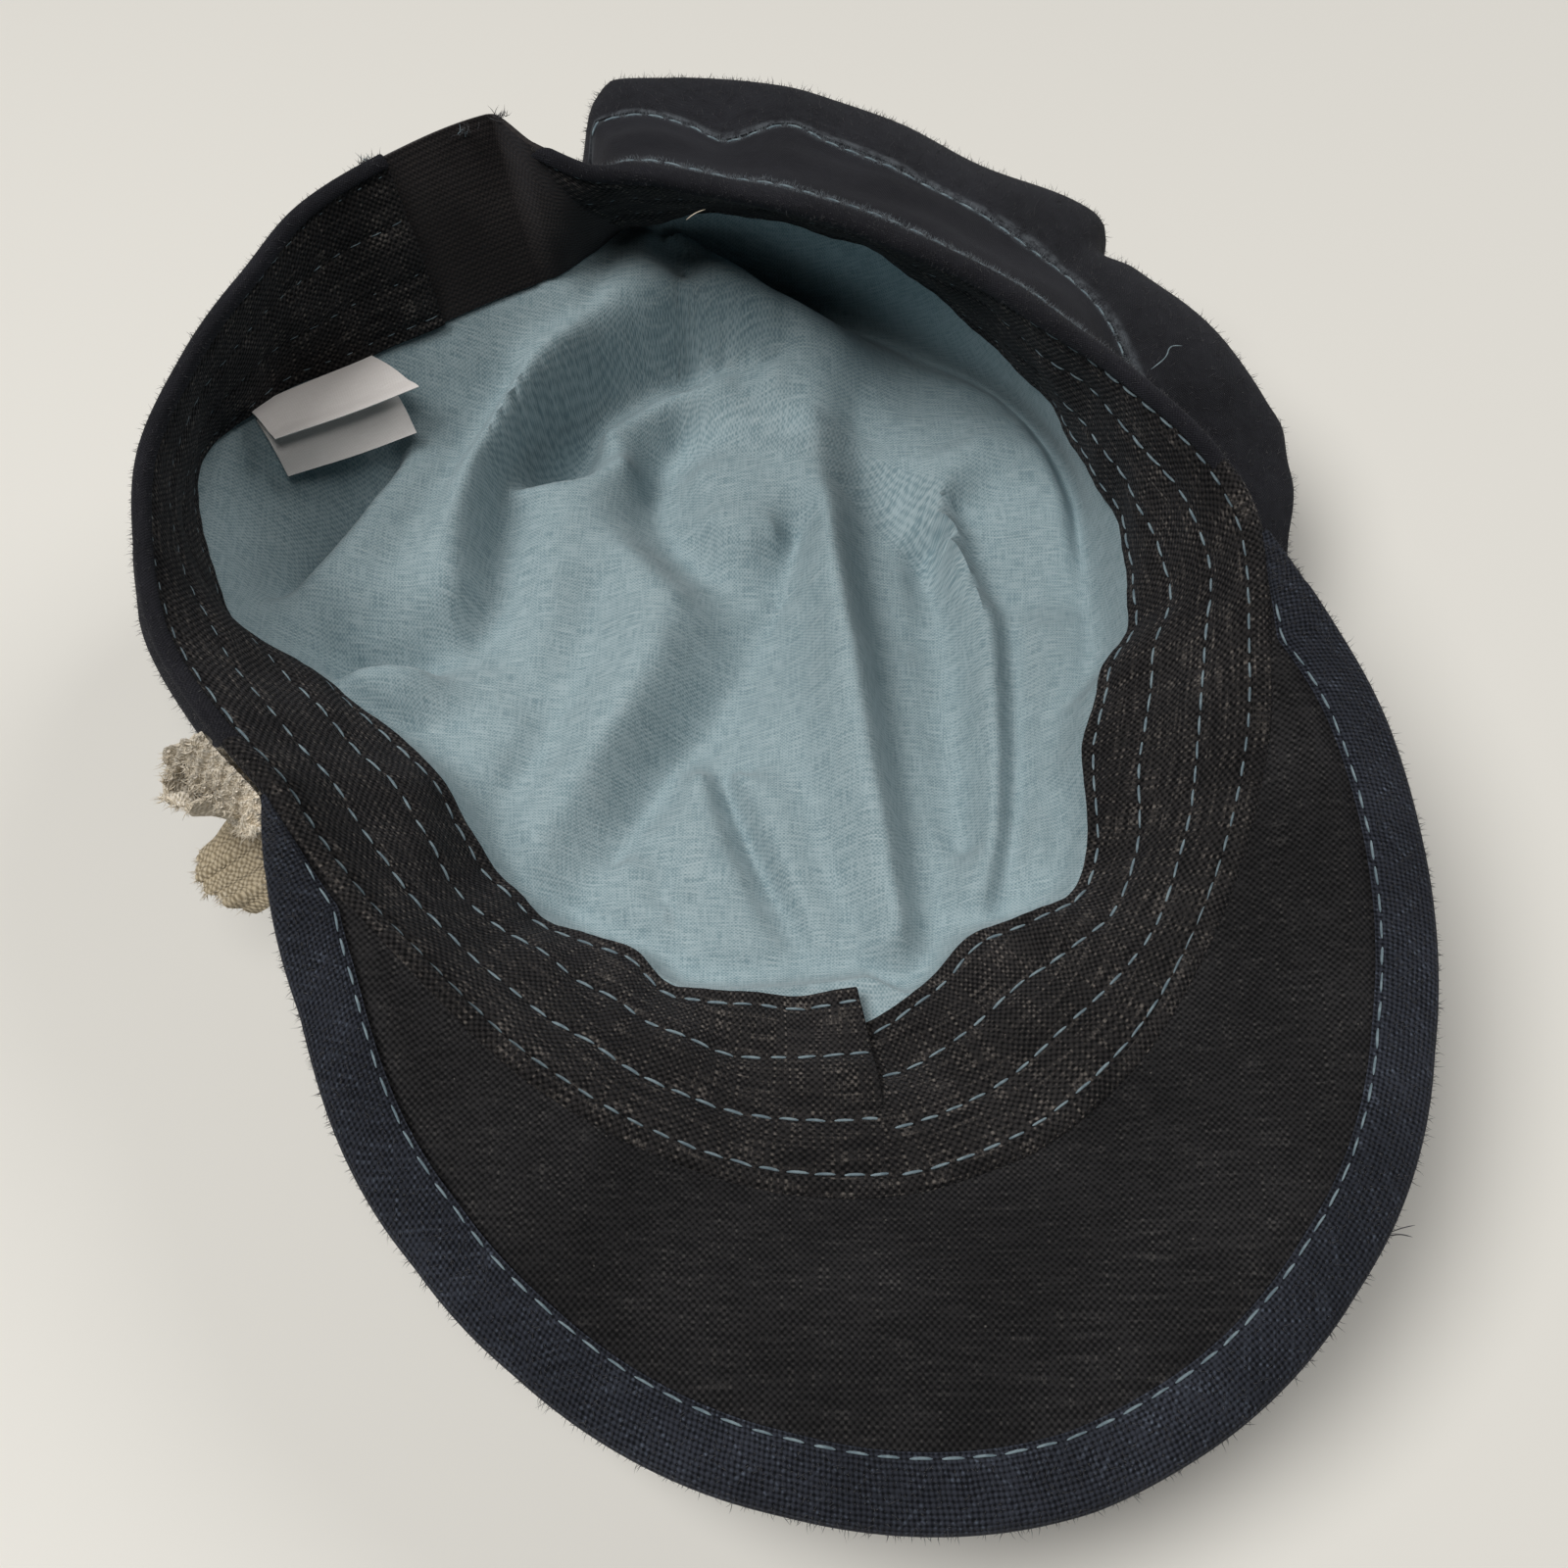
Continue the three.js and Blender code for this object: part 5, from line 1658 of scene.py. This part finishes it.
    def build(self, wardrobe: Wardrobe) -> None:
        """Builds and dresses the three cloths."""
        black = (wardrobe.underside, "black_weave")
        navy = (wardrobe.navy, "navy_cotton")
        bias = (wardrobe.bias, "bias_binding")
        rows = (
            ("peak_underside", "cloth", (260, 90), self.top, self.underside_cloth, black, True),
            ("peak_cover", "cloth", (200, 60), self.bottom, self.cover_cloth, navy, False),
            ("peak_binding", "strip", (320, 44), self.wrap, self.binding_cloth, bias, True),
        )
        for node, kind, steps, surface, cloth, finish, flip in rows:
            sew_piece(f"{node}_{kind}", steps, surface, cloth, finish, [node], flip)


@dataclass(frozen=True)
class LabelLeaf:
    """One bare satin leaf of the label, sewn under the sweatband's hem at the left."""

    name: str
    node: str
    sewn: tuple[Sequence[float], Sequence[float]]
    free: tuple[Sequence[float], Sequence[float]]
    bow: float
    curl: float
    cloth: float = 0.35

    def face(self, along: Values, out: Values) -> Points:
        """Points bowed between the sewn edge and the free edge."""
        sewn, free = (
            mix(np.array(left, float), np.array(right, float), along[..., None])
            for left, right in (self.sewn, self.free)
        )
        made = mix(sewn, free, out[..., None])
        bend = self.bow * np.sin(np.pi * out) + self.curl * ramp(out, 0.72, 1.0)
        made[..., 2] += bend + 0.25 * np.sin(5.0 * along + 2.0 * out)
        return made

    def build(self, wardrobe: Wardrobe) -> None:
        """Builds and dresses the leaf."""
        finish = (wardrobe.satin, "white_satin")
        sew_piece(self.name, (48, 36), self.face, self.cloth, finish, [self.node], flip=True)


LABEL_LEAVES = (
    LabelLeaf(
        "label_leaf_front", "label_front",
        sewn=((-76.1, 75.6, 46), (-50.9, 81.9, 46)), free=((-72.7, 66.2, 44.2), (-44, 71.2, 43.6)),
        bow=1.2, curl=1.3,
    ),
    LabelLeaf(
        "label_leaf_back", "label_back",
        sewn=((-75.3, 74, 44.2), (-49.5, 79.5, 43.4)), free=((-72.8, 65, 37.6), (-46.9, 68.7, 36.8)),
        bow=1.1, curl=-1.0,
    ),
)


@dataclass
class Rosette:
    """Frayed linen scraps sewn outside the headband at the left end of the peak."""

    opening: HeadOpening
    cloth: float = 0.8
    foot_stand: float = 2.95
    curl_bearing: float = -86.0
    curl_share: float = 0.36
    curl_heading: float = -88.0
    curl_straight: float = 9.0
    curl_bend: float = 300.0
    curl_radius: float = 4.2
    curl_width: float = 12.0
    ruffle_left: float = -86.5
    ruffle_right: float = -76.0
    ruffle_reach: tuple[float, float] = (6.5, 4.0)
    ruffle_stand: float = 1.6
    ruffle_droop: float = 2.6
    petal_bearing: float = -79.0
    petal_share: float = 0.46
    petal_heading: float = -84.0
    petal_half_width: float = 9.6
    petal_length: float = 23.0
    petal_droop: float = 5.0
    crumple: Ripple = field(default_factory=lambda: Ripple(83, 9.0, 0.85, count=9))

    def foot(self, bearing: float, share: float) -> Points:
        """Where a scrap is sewn on."""
        where = np.array([bearing])
        line = mix(self.opening.rim(where), self.opening.seam(where), share)
        return (line + place(where, np.array([self.foot_stand]), np.array([0.0])))[0]

    @staticmethod
    def level_way(bearing: float) -> Points:
        """The level direction at a bearing."""
        return place(np.array(bearing), np.array(1.0), np.array(0.0))

    @staticmethod
    def ragged(along: Values, waves: Sequence[tuple[float, float, float]]) -> Values:
        """How far a torn edge runs in and out, from waves of a height, a quickness and a phase."""
        return sum(height * np.sin(quickness * along + phase) for height, quickness, phase in waves)

    def curl(self, along: Values, across: Values) -> Points:
        """Points of the scrap that stands on edge and rolls up."""
        ahead = self.level_way(self.curl_heading)
        beside = self.level_way(self.curl_heading + 90.0)
        where = np.array([self.curl_bearing])
        slope = unit(self.opening.rim(where) - self.opening.seam(where))[0]
        travel = along * (self.curl_straight + self.curl_radius * math.radians(self.curl_bend))
        turned = np.maximum(0.0, travel - self.curl_straight) / self.curl_radius
        forward = np.minimum(travel, self.curl_straight) + self.curl_radius * np.sin(turned)
        aside = self.curl_radius * (1.0 - np.cos(turned))
        crumple = self.crumple(travel, self.curl_width * across)
        edge = self.ragged(along, ((0.5, 61.0, 0.0), (0.4, 97.0, 2.0)))
        stand = self.curl_width * (across - 0.5) * (1.0 + 0.12 * np.sin(9.0 * along)) + edge * across
        return (
            self.foot(self.curl_bearing, self.curl_share)
            + ahead * (forward + crumple)[..., None]
            + beside * (aside + 0.7 * crumple)[..., None]
            + slope * stand[..., None]
        )

    def ruffle(self, along: Values, out: Values) -> Points:
        """Points of the gathered cloth between the roll and the rim, with a ragged outer edge."""
        bearing = mix(self.ruffle_left, self.ruffle_right, along)
        edge = self.ragged(along, ((0.9, 23.0, 0.0), (0.6, 59.0, 1.0), (0.4, 101.0, 0.0)))
        reach = out * (mix(*self.ruffle_reach, along) + 0.7 * edge * out)
        gather = self.crumple(60.0 * along, 3.0 * reach) * (0.4 + out)
        rise = gather - self.ruffle_stand - self.ruffle_droop * out * out
        return self.opening.rim(bearing) + place(bearing, self.ruffle_stand + reach, rise)

    def petal(self, along: Values, out: Values) -> Points:
        """Points of the scrap that lies open as a rounded, drooping petal."""
        ahead = self.level_way(self.petal_heading)
        beside = self.level_way(self.petal_heading + 90.0)
        side = 2.0 * along - 1.0
        edge = self.ragged(along, ((0.5, 31.0, 0.0), (0.35, 67.0, 0.0)))
        half_width = self.petal_half_width * np.sin(np.pi * (0.08 + 0.6 * out))
        reach = self.petal_length * out * (1.0 - 0.25 * side * side) + edge * out
        droop = -self.petal_droop * (out * out + 0.4 * side * side * out)
        foot = self.foot(self.petal_bearing, self.petal_share)
        made = foot + ahead * reach[..., None] + beside * (half_width * side)[..., None]
        made[..., 2] += droop + 0.5 * np.sin(6.0 * side + 4.0 * out)
        return made

    def build(self, wardrobe: Wardrobe) -> None:
        """Builds and dresses the scraps."""
        pale = (wardrobe.linen, "beige_linen")
        # The petal wears the beige linen painted darker: painted shade.
        shade_painted = (wardrobe.shade_painted_linen, "beige_linen")
        sew_piece("rosette_roll", (110, 40), self.curl, self.cloth, pale, ["rosette_curl"])
        sew_piece("rosette_leaf", (64, 64), self.petal, self.cloth, shade_painted, ["rosette_petal"])
        sew_piece("rosette_ruffle", (120, 36), self.ruffle, self.cloth, pale, flip=True)


@dataclass
class Stitching:
    """Rows of topstitching: one stitch modelled once and copied along each row."""

    length: float = 3.55
    gap: float = 0.85
    thickness: float = 0.5
    look: float = 1.2
    stray: float = 0.15
    tilt: float = 0.05
    lengths: tuple[float, float] = (0.92, 1.06)
    thicknesses: tuple[float, float] = (0.85, 1.1)
    sunk_length: float = 0.8
    sunk_thickness: float = 0.5
    sink: float = 0.16
    arch: float = 0.22
    bury: float = 0.1
    bluntness: float = 0.75

    def bead(self) -> tuple[Points, Values]:
        """One stitch as a small stretched bead.

        Returns:
            Its points on a unit ball with its poles along Z, and its faces.
        """
        bpy.ops.object.select_all(action="DESELECT")
        bpy.ops.mesh.primitive_uv_sphere_add(segments=8, ring_count=6, radius=1.0)
        ball = bpy.context.active_object
        points = mesh_points(ball)
        ball.data.calc_loop_triangles()
        faces = np.empty(len(ball.data.loop_triangles) * 3, int)
        ball.data.loop_triangles.foreach_get("vertices", faces)
        mesh = ball.data
        bpy.data.objects.remove(ball)
        bpy.data.meshes.remove(mesh)
        return points, faces.reshape(-1, 3)

    def row(
        self, name: str, path: Points, normals: Points, ease: Values, wardrobe: Wardrobe, seed: int
    ) -> None:
        """Sews one row along a path.

        Args:
            name: The piece's name.
            path: Closely spaced points on the cloth.
            normals: The directions that the cloth faces there.
            ease: How loose the thread lies there, from 0 where it has sunk in to 1.
            wardrobe: The finishes.
            seed: For the stitches' small unevenness.
        """
        steps = np.linalg.norm(np.diff(path, axis=0), axis=-1)
        travel = np.concatenate([[0.0], np.cumsum(steps)])
        count = round(travel[-1] / (self.length + self.gap))
        middles = (np.arange(count) + 0.5) * travel[-1] / count
        draw = np.random.default_rng(seed)
        middles = middles + draw.uniform(-self.stray, self.stray, count)

        def at(distance: Values, values: Points) -> Points:
            """Values along the path at distances."""
            return np.stack([np.interp(distance, travel, values[:, axis]) for axis in range(3)], axis=-1)

        centre = at(middles, path)
        up = unit(at(middles, normals))
        forward = unit(at(middles + self.look, path) - at(middles - self.look, path))
        aside = unit(np.cross(up, forward))
        forward = unit(forward + aside * draw.uniform(-self.tilt, self.tilt, (count, 1)))
        loose = np.interp(middles, travel, ease)[:, None]
        half = self.length / 2 * draw.uniform(*self.lengths, (count, 1)) * mix(self.sunk_length, 1.0, loose)
        thick = self.thickness / 2 * mix(self.sunk_thickness, 1.0, loose)
        thick = thick * draw.uniform(*self.thicknesses, (count, 1))
        centre = centre - up * (self.sink * (1.0 - loose))
        points, faces = self.bead()
        stretched = np.sign(points[:, 2]) * np.abs(points[:, 2]) ** self.bluntness
        arch = self.arch * (1.0 - points[:, 2] ** 2) - self.bury
        made = (
            centre[:, None, :]
            + forward[:, None, :] * (half[:, None, :] * stretched[None, :, None])
            + aside[:, None, :] * (points[None, :, 0:1] * thick[:, None, :])
            + up[:, None, :] * (points[None, :, 1:2] * thick[:, None, :] + arch[None, :, None])
        )
        numbered = faces[None, :, :] + (np.arange(count) * len(points))[:, None, None]
        piece = mesh_piece(name, made.reshape(-1, 3), numbered.reshape(-1, 3))
        finish_piece(piece, wardrobe.thread, "teal_lining")


@dataclass
class Fuzz:
    """Short loose fibres of worn cotton, each a thin bent cone."""

    thickness: float = 0.11
    lean: float = 0.55
    shortest: float = 0.3
    bend: float = 0.35
    root_depth: float = 0.1
    rings: tuple[tuple[float, float], ...] = ((0.0, 1.0), (0.55, 0.7))

    def grow(
        self, name: str, roots: Points, normals: Points, longest: float,
        material: bpy.types.Material, slot: str,
    ) -> None:
        """Grows one fibre from each root.

        Args:
            name: The piece's name.
            roots: Places on the cloth.
            normals: The directions that the cloth faces there.
            longest: Length of the longest fibres.
            material: What they are made of.
            slot: A material slot name.
        """
        draw = np.random.default_rng(len(roots) + int(100 * longest))
        count = len(roots)
        length = longest * mix(self.shortest, 1.0, draw.random(count) ** 2)[:, None]
        way = unit(normals + self.lean * draw.normal(size=(count, 3)))
        bend = np.cross(way, draw.normal(size=(count, 3))) * self.bend
        side = unit(np.cross(way, draw.normal(size=(count, 3))))
        other = np.cross(way, side)
        rings = []
        for share, width in self.rings:
            middle = roots - normals * self.root_depth + way * length * share + bend * length * share**2
            for turn in (0.0, 120.0, 240.0):
                spoke = side * math.cos(math.radians(turn)) + other * math.sin(math.radians(turn))
                rings.append(middle + spoke * (self.thickness / 2 * width))
        rings.append(roots + way * length + bend * length)
        points = np.stack(rings, axis=1)
        cone = np.array([
            (0, 1, 4), (0, 4, 3), (1, 2, 5), (1, 5, 4), (2, 0, 3), (2, 3, 5),
            (3, 4, 6), (4, 5, 6), (5, 3, 6),
        ])
        faces = cone[None, :, :] + (np.arange(count) * points.shape[1])[:, None, None]
        piece = mesh_piece(name, points.reshape(-1, 3), faces.reshape(-1, 3))
        finish_piece(piece, material, slot)

    def scatter(
        self, name: str, surface: Surface, count: int, along: tuple, across: tuple, longest: float,
        material: bpy.types.Material, slot: str,
    ) -> None:
        """Scatters fibres over a part of a surface.

        Args:
            name: The piece's name.
            surface: Gives points from shares along and across, and faces away from the cloth's outside.
            count: How many fibres.
            along: The least and the greatest share along it.
            across: The least and the greatest share across it.
            longest: Length of the longest fibres.
            material: What they are made of.
            slot: A material slot name.
        """
        draw = np.random.default_rng(count)
        first = draw.uniform(*along, count)
        second = draw.uniform(*across, count)
        roots = surface(first, second)
        self.grow(name, roots, -surface_normals(surface, first, second), longest, material, slot)


class ThreadKind(Enum):
    """What a loose thread is made of."""

    SEWING = "sewing"
    DARK = "dark"
    TAN = "tan"
    PALE = "pale"


# Loose threads and stray hairs: kind, thickness and the places that they pass through.
THREAD_ROWS = (
    (ThreadKind.SEWING, 0.22, ((77.2, 8.5, 66), (80.5, 9.3, 67), (82, 11.4, 67.5), (84.5, 11, 67))),
    (ThreadKind.PALE, 0.2, ((10.7, 67.8, 71.5), (12.8, 68.5, 72), (14.7, 68.4, 72.3))),
    (ThreadKind.DARK, 0.18, ((50.4, -133.8, 31), (52.7, -134.4, 32), (54.4, -135.4, 31.5))),
    (ThreadKind.DARK, 0.15, ((51.4, -133.6, 31), (53.2, -133.8, 32.4), (55, -134.2, 33))),
    (ThreadKind.TAN, 0.16, (
        (-83, -63.4, 40.4), (-80.5, -65.6, 40.8), (-79.2, -68, 40.6), (-78.5, -70, 40),
    )),
)


@dataclass
class LooseThreads:
    """Loose ends of thread and stray hairs, each a thin tube."""

    sides: int = 6
    skew: tuple[float, float, float] = (0.31, 0.52, 0.79)

    @staticmethod
    def rounded(spots: Sequence[Sequence[float]]) -> Points:
        """A line of places with its corners cut until it bends softly."""
        line = np.array(spots, float)
        for _ in range(3):
            early = 0.75 * line[:-1] + 0.25 * line[1:]
            late = 0.25 * line[:-1] + 0.75 * line[1:]
            inner = np.stack([early, late], axis=1).reshape(-1, 3)
            line = np.concatenate([line[:1], inner[1:-1], line[-1:]])
        return line

    def tube(self, name: str, line: Points, thickness: float) -> bpy.types.Object:
        """A tube along a line, closed at its ends."""
        way = unit(np.gradient(line, axis=0))
        side = unit(np.cross(way, self.skew))
        other = np.cross(way, side)
        turns = np.arange(self.sides) * 2.0 * np.pi / self.sides
        across = side[:, None, :] * np.cos(turns)[None, :, None]
        spokes = across + other[:, None, :] * np.sin(turns)[None, :, None]
        width = np.full(len(line), thickness / 2)
        width[0] = width[-1] = thickness / 8
        points = (line[:, None, :] + spokes * width[:, None, None]).reshape(-1, 3)
        ring = np.arange(self.sides)
        after = (ring + 1) % self.sides
        faces = []
        for step in range(len(line) - 1):
            low = step * self.sides
            high = low + self.sides
            faces.append(np.stack([low + ring, low + after, high + after, high + ring], axis=-1))
        return mesh_piece(name, points, np.concatenate(faces))

    def build(self, wardrobe: Wardrobe) -> None:
        """Builds and dresses every thread."""
        finishes = {
            ThreadKind.SEWING: (wardrobe.thread, "teal_lining"),
            ThreadKind.DARK: (wardrobe.fuzz, "navy_cotton"),
            ThreadKind.TAN: (wardrobe.tan_hair, "beige_linen"),
            ThreadKind.PALE: (wardrobe.linen_yarn, "white_satin"),
        }
        for number, (kind, thickness, spots) in enumerate(THREAD_ROWS):
            thread = self.tube(f"loose_thread_{number + 1}", self.rounded(spots), thickness)
            finish_piece(thread, *finishes[kind])


# Studio lamps, in metres and watts.
LAMPS = (
    # name, place, width, power
    ("window", (-0.72, 0.1, 1.32), 0.85, 16.2),
    ("right_wall", (1.06, 0.34, 1.0), 0.9, 6.6),
    ("ceiling", (-0.05, -0.5, 1.42), 0.5, 3.2),
)
ROOM_LIGHT = 0.015


@dataclass(frozen=True)
class Studio:
    """Floor, light and camera."""

    camera_place: tuple[float, float, float] = (-54.6, -164.4, 262.9)
    azimuth: float = -20.0
    elevation: float = 58.3
    lens: float = 36.0
    floor_size: float = 6.0
    floor_drop: float = 0.0002
    floor_colour: Colour = srgb(236, 234, 228)
    lamp_colour: Colour = (1.0, 0.985, 0.96)
    room_colour: Colour = (1.0, 0.98, 0.95)
    aim: tuple[float, float, float] = (0.0, 0.0, 0.03)

    def camera(self) -> None:
        """Puts the camera where the photograph was taken from."""
        data = bpy.data.cameras.new("camera")
        data.sensor_width = 36.0
        data.lens = self.lens
        data.clip_start = 0.01
        data.clip_end = 20.0
        seat = bpy.data.objects.new("camera", data)
        bpy.context.scene.collection.objects.link(seat)
        seat.location = [value * MM for value in self.camera_place]
        azimuth = math.radians(self.azimuth)
        elevation = math.radians(self.elevation)
        level = math.cos(elevation)
        back = Vector((math.sin(azimuth) * level, -math.cos(azimuth) * level, math.sin(elevation)))
        seat.rotation_euler = (-back).to_track_quat("-Z", "Y").to_euler()
        bpy.context.scene.camera = seat

    def floor(self) -> None:
        """Lays a plain warm white floor."""
        bpy.ops.object.select_all(action="DESELECT")
        bpy.ops.mesh.primitive_plane_add(size=self.floor_size, location=(0.0, 0.0, -self.floor_drop))
        ground = bpy.context.active_object
        ground.name = "floor"
        white, write, shader = new_material("floor_white")
        write.fill(shader, {"Base Color": opaque(self.floor_colour), "Roughness": 0.6})
        ground.data.materials.append(white)

    def lights(self) -> None:
        """Hangs a large soft light at the left and behind, and weaker ones opposite, in a dim room."""
        for name, place_at, size, power in LAMPS:
            data = bpy.data.lights.new(name, "AREA")
            data.shape = "DISK"
            data.size = size
            data.energy = power
            data.color = self.lamp_colour
            lamp = bpy.data.objects.new(name, data)
            bpy.context.scene.collection.objects.link(lamp)
            lamp.location = place_at
            aim = Vector(self.aim) - lamp.location
            lamp.rotation_euler = aim.to_track_quat("-Z", "Y").to_euler()
        world = bpy.data.worlds.new("room")
        bpy.context.scene.world = world
        world.use_nodes = True
        room = world.node_tree.nodes["Background"]
        room.inputs[0].default_value = opaque(self.room_colour)
        room.inputs[1].default_value = ROOM_LIGHT
        bpy.context.scene.view_settings.view_transform = "Standard"


# Points along a row before it is sewn, and how far its ends keep from the cloth's.
ROW_POINTS = 2400
ROW_MARGIN = 0.1


def sew_sweatband(band: Sweatband, stitching: Stitching, wardrobe: Wardrobe) -> None:
    """Sews the four rows of each part of the sweatband."""
    for side in TuckSide:
        for number, share in enumerate(band.channels):
            one = np.array([share])
            start, end = band.ends(side, one)
            if side is TuckSide.RIGHT:
                start = band.tuck_end(one)
            bearing = np.linspace(start[0] + ROW_MARGIN, end[0] - ROW_MARGIN, ROW_POINTS)
            path, normals = band.face(side, bearing, np.full_like(bearing, share))
            ease = ramp(bearing, -112.0, -80.0) * (1.0 - ramp(bearing, 96.0, 122.0))
            name = f"stitches_sweatband_{side.value}_{number + 1}"
            stitching.row(name, path, normals, ease, wardrobe, 20 + number)


def sew_peak(peak: Peak, stitching: Stitching, wardrobe: Wardrobe) -> None:
    """Sews the row along the binding's inner edge."""
    along = np.linspace(0.05, 0.95, ROW_POINTS)
    around = np.full_like(along, 0.045)
    path = peak.wrap(along, around)
    normals = -surface_normals(peak.wrap, along, around)
    stitching.row("stitches_binding", path, normals, np.full_like(along, 0.8), wardrobe, 40)


def sew_band(band: OuterBand, stitching: Stitching, wardrobe: Wardrobe) -> None:
    """Sews the outer headband's two rows, below the rim and above the crown's seam."""
    along = np.linspace(0.003, 0.997, 2600)
    ease = np.full_like(along, 0.9)
    for number, across in enumerate(band.stitch_rows):
        level = np.full_like(along, across)
        path = band.strip(along, level)
        normals = -surface_normals(band.strip, along, level)
        stitching.row(f"stitches_outer_{number + 1}", path, normals, ease, wardrobe, 50 + number)


# Tufts of loose fibre where the headbands' ends are cut.
TUFT_ROWS = (
    # place, fibres, yarn
    ((-41.6, 93.6, 79), 14, ThreadKind.SEWING),
    ((-41.6, 93.6, 79), 40, ThreadKind.DARK),
    ((-22.6, 98.6, 77.4), 8, ThreadKind.SEWING),
    ((-22.6, 98.6, 77.4), 36, ThreadKind.DARK),
    ((-15.4, 100.4, 77.6), 40, ThreadKind.DARK),
)


TUFT_SPREAD = (0.8, 0.5, 0.2)
TUFT_WAY = (0.0, 0.5, 1.0)
TUFT_LENGTH = 2.4
FRAY_FIBRES = 420
FRAY_LENGTH = 2.2


def grow_nap(crown: Crown, band: OuterBand, peak: Peak, wardrobe: Wardrobe) -> None:
    """Grows the nap of the outer cloths."""
    dark = (wardrobe.fuzz, "navy_cotton")
    pale = (wardrobe.pale_fuzz, "navy_cotton")
    bias = (wardrobe.fuzz, "bias_binding")
    fuzz = Fuzz()
    rows = (
        # piece, surface, fibres, shares along, shares across, longest, finish
        ("fuzz_crown", crown.wall, 15000, (0.0, 1.0), (0.02, 0.5), 1.8, dark),
        ("fuzz_rim", band.strip, 7000, (0.0, 1.0), (0.02, 0.3), 1.3, dark),
        ("fuzz_binding", peak.wrap, 9000, (0.01, 0.99), (0.1, 0.75), 1.6, bias),
        ("fuzz_worn_rim", band.strip, 3200, (0.66, 0.99), (0.22, 0.3), 1.2, pale),
        ("fuzz_worn_seam", band.strip, 2200, (0.7, 0.99), (0.94, 1.0), 1.2, pale),
    )
    for *row, finish in rows:
        fuzz.scatter(*row, *finish)


def fray_edges(rosette: Rosette, wardrobe: Wardrobe) -> None:
    """Frays the cut ends of the headbands and the linen scraps, and grows the ruffle's nap."""
    linen = (wardrobe.linen_yarn, "beige_linen")
    draw = np.random.default_rng(71)
    tuft = Fuzz(thickness=0.18, lean=0.9)
    for number, (spot, count, yarn) in enumerate(TUFT_ROWS):
        roots = np.array(spot) + draw.normal(size=(count, 3)) * TUFT_SPREAD
        lifted = np.tile(unit(np.array(TUFT_WAY)), (count, 1))
        finish = wardrobe.thread if yarn is ThreadKind.SEWING else wardrobe.fuzz
        tuft.grow(f"tuft_{number + 1}", roots, lifted, TUFT_LENGTH, finish, "navy_cotton")
    fray = Fuzz(thickness=0.2, lean=0.6)
    edge = np.linspace(0.0, 1.0, FRAY_FIBRES)
    scraps = {"fray_roll": rosette.curl, "fray_ruffle": rosette.ruffle, "fray_leaf": rosette.petal}
    for name, surface in scraps.items():
        rim = surface(edge, np.ones_like(edge))
        inner = surface(edge, np.full_like(edge, 0.96))
        fray.grow(name, rim, unit(rim - inner), FRAY_LENGTH, *linen)
    nap = Fuzz(thickness=0.14, lean=0.9)
    nap.scatter("fuzz_ruffle", rosette.ruffle, 900, (0.02, 0.98), (0.1, 1.0), 1.2, *linen)


def main() -> None:
    """Builds the cap's pieces in order."""
    logging.basicConfig(level=logging.INFO, format="%(name)s %(message)s")
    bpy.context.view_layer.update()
    studio = Studio()
    studio.camera()
    studio.floor()
    studio.lights()
    wardrobe = Wardrobe()
    opening = HeadOpening()
    sweatband = Sweatband(opening)
    outer_band = OuterBand(opening)
    peak = Peak(opening)
    crown = Crown(opening)
    rosette = Rosette(opening)
    crown.build(wardrobe)
    Lining(opening).build(wardrobe)
    outer_band.build(wardrobe)
    sweatband.build(wardrobe)
    ElasticInsert(opening).build(wardrobe)
    peak.build(wardrobe)
    for leaf in LABEL_LEAVES:
        leaf.build(wardrobe)
    rosette.build(wardrobe)
    stitching = Stitching()
    sew_sweatband(sweatband, stitching, wardrobe)
    sew_peak(peak, stitching, wardrobe)
    sew_band(outer_band, stitching, wardrobe)
    grow_nap(crown, outer_band, peak, wardrobe)
    fray_edges(rosette, wardrobe)
    LooseThreads().build(wardrobe)


if __name__ == "__main__":
    main()
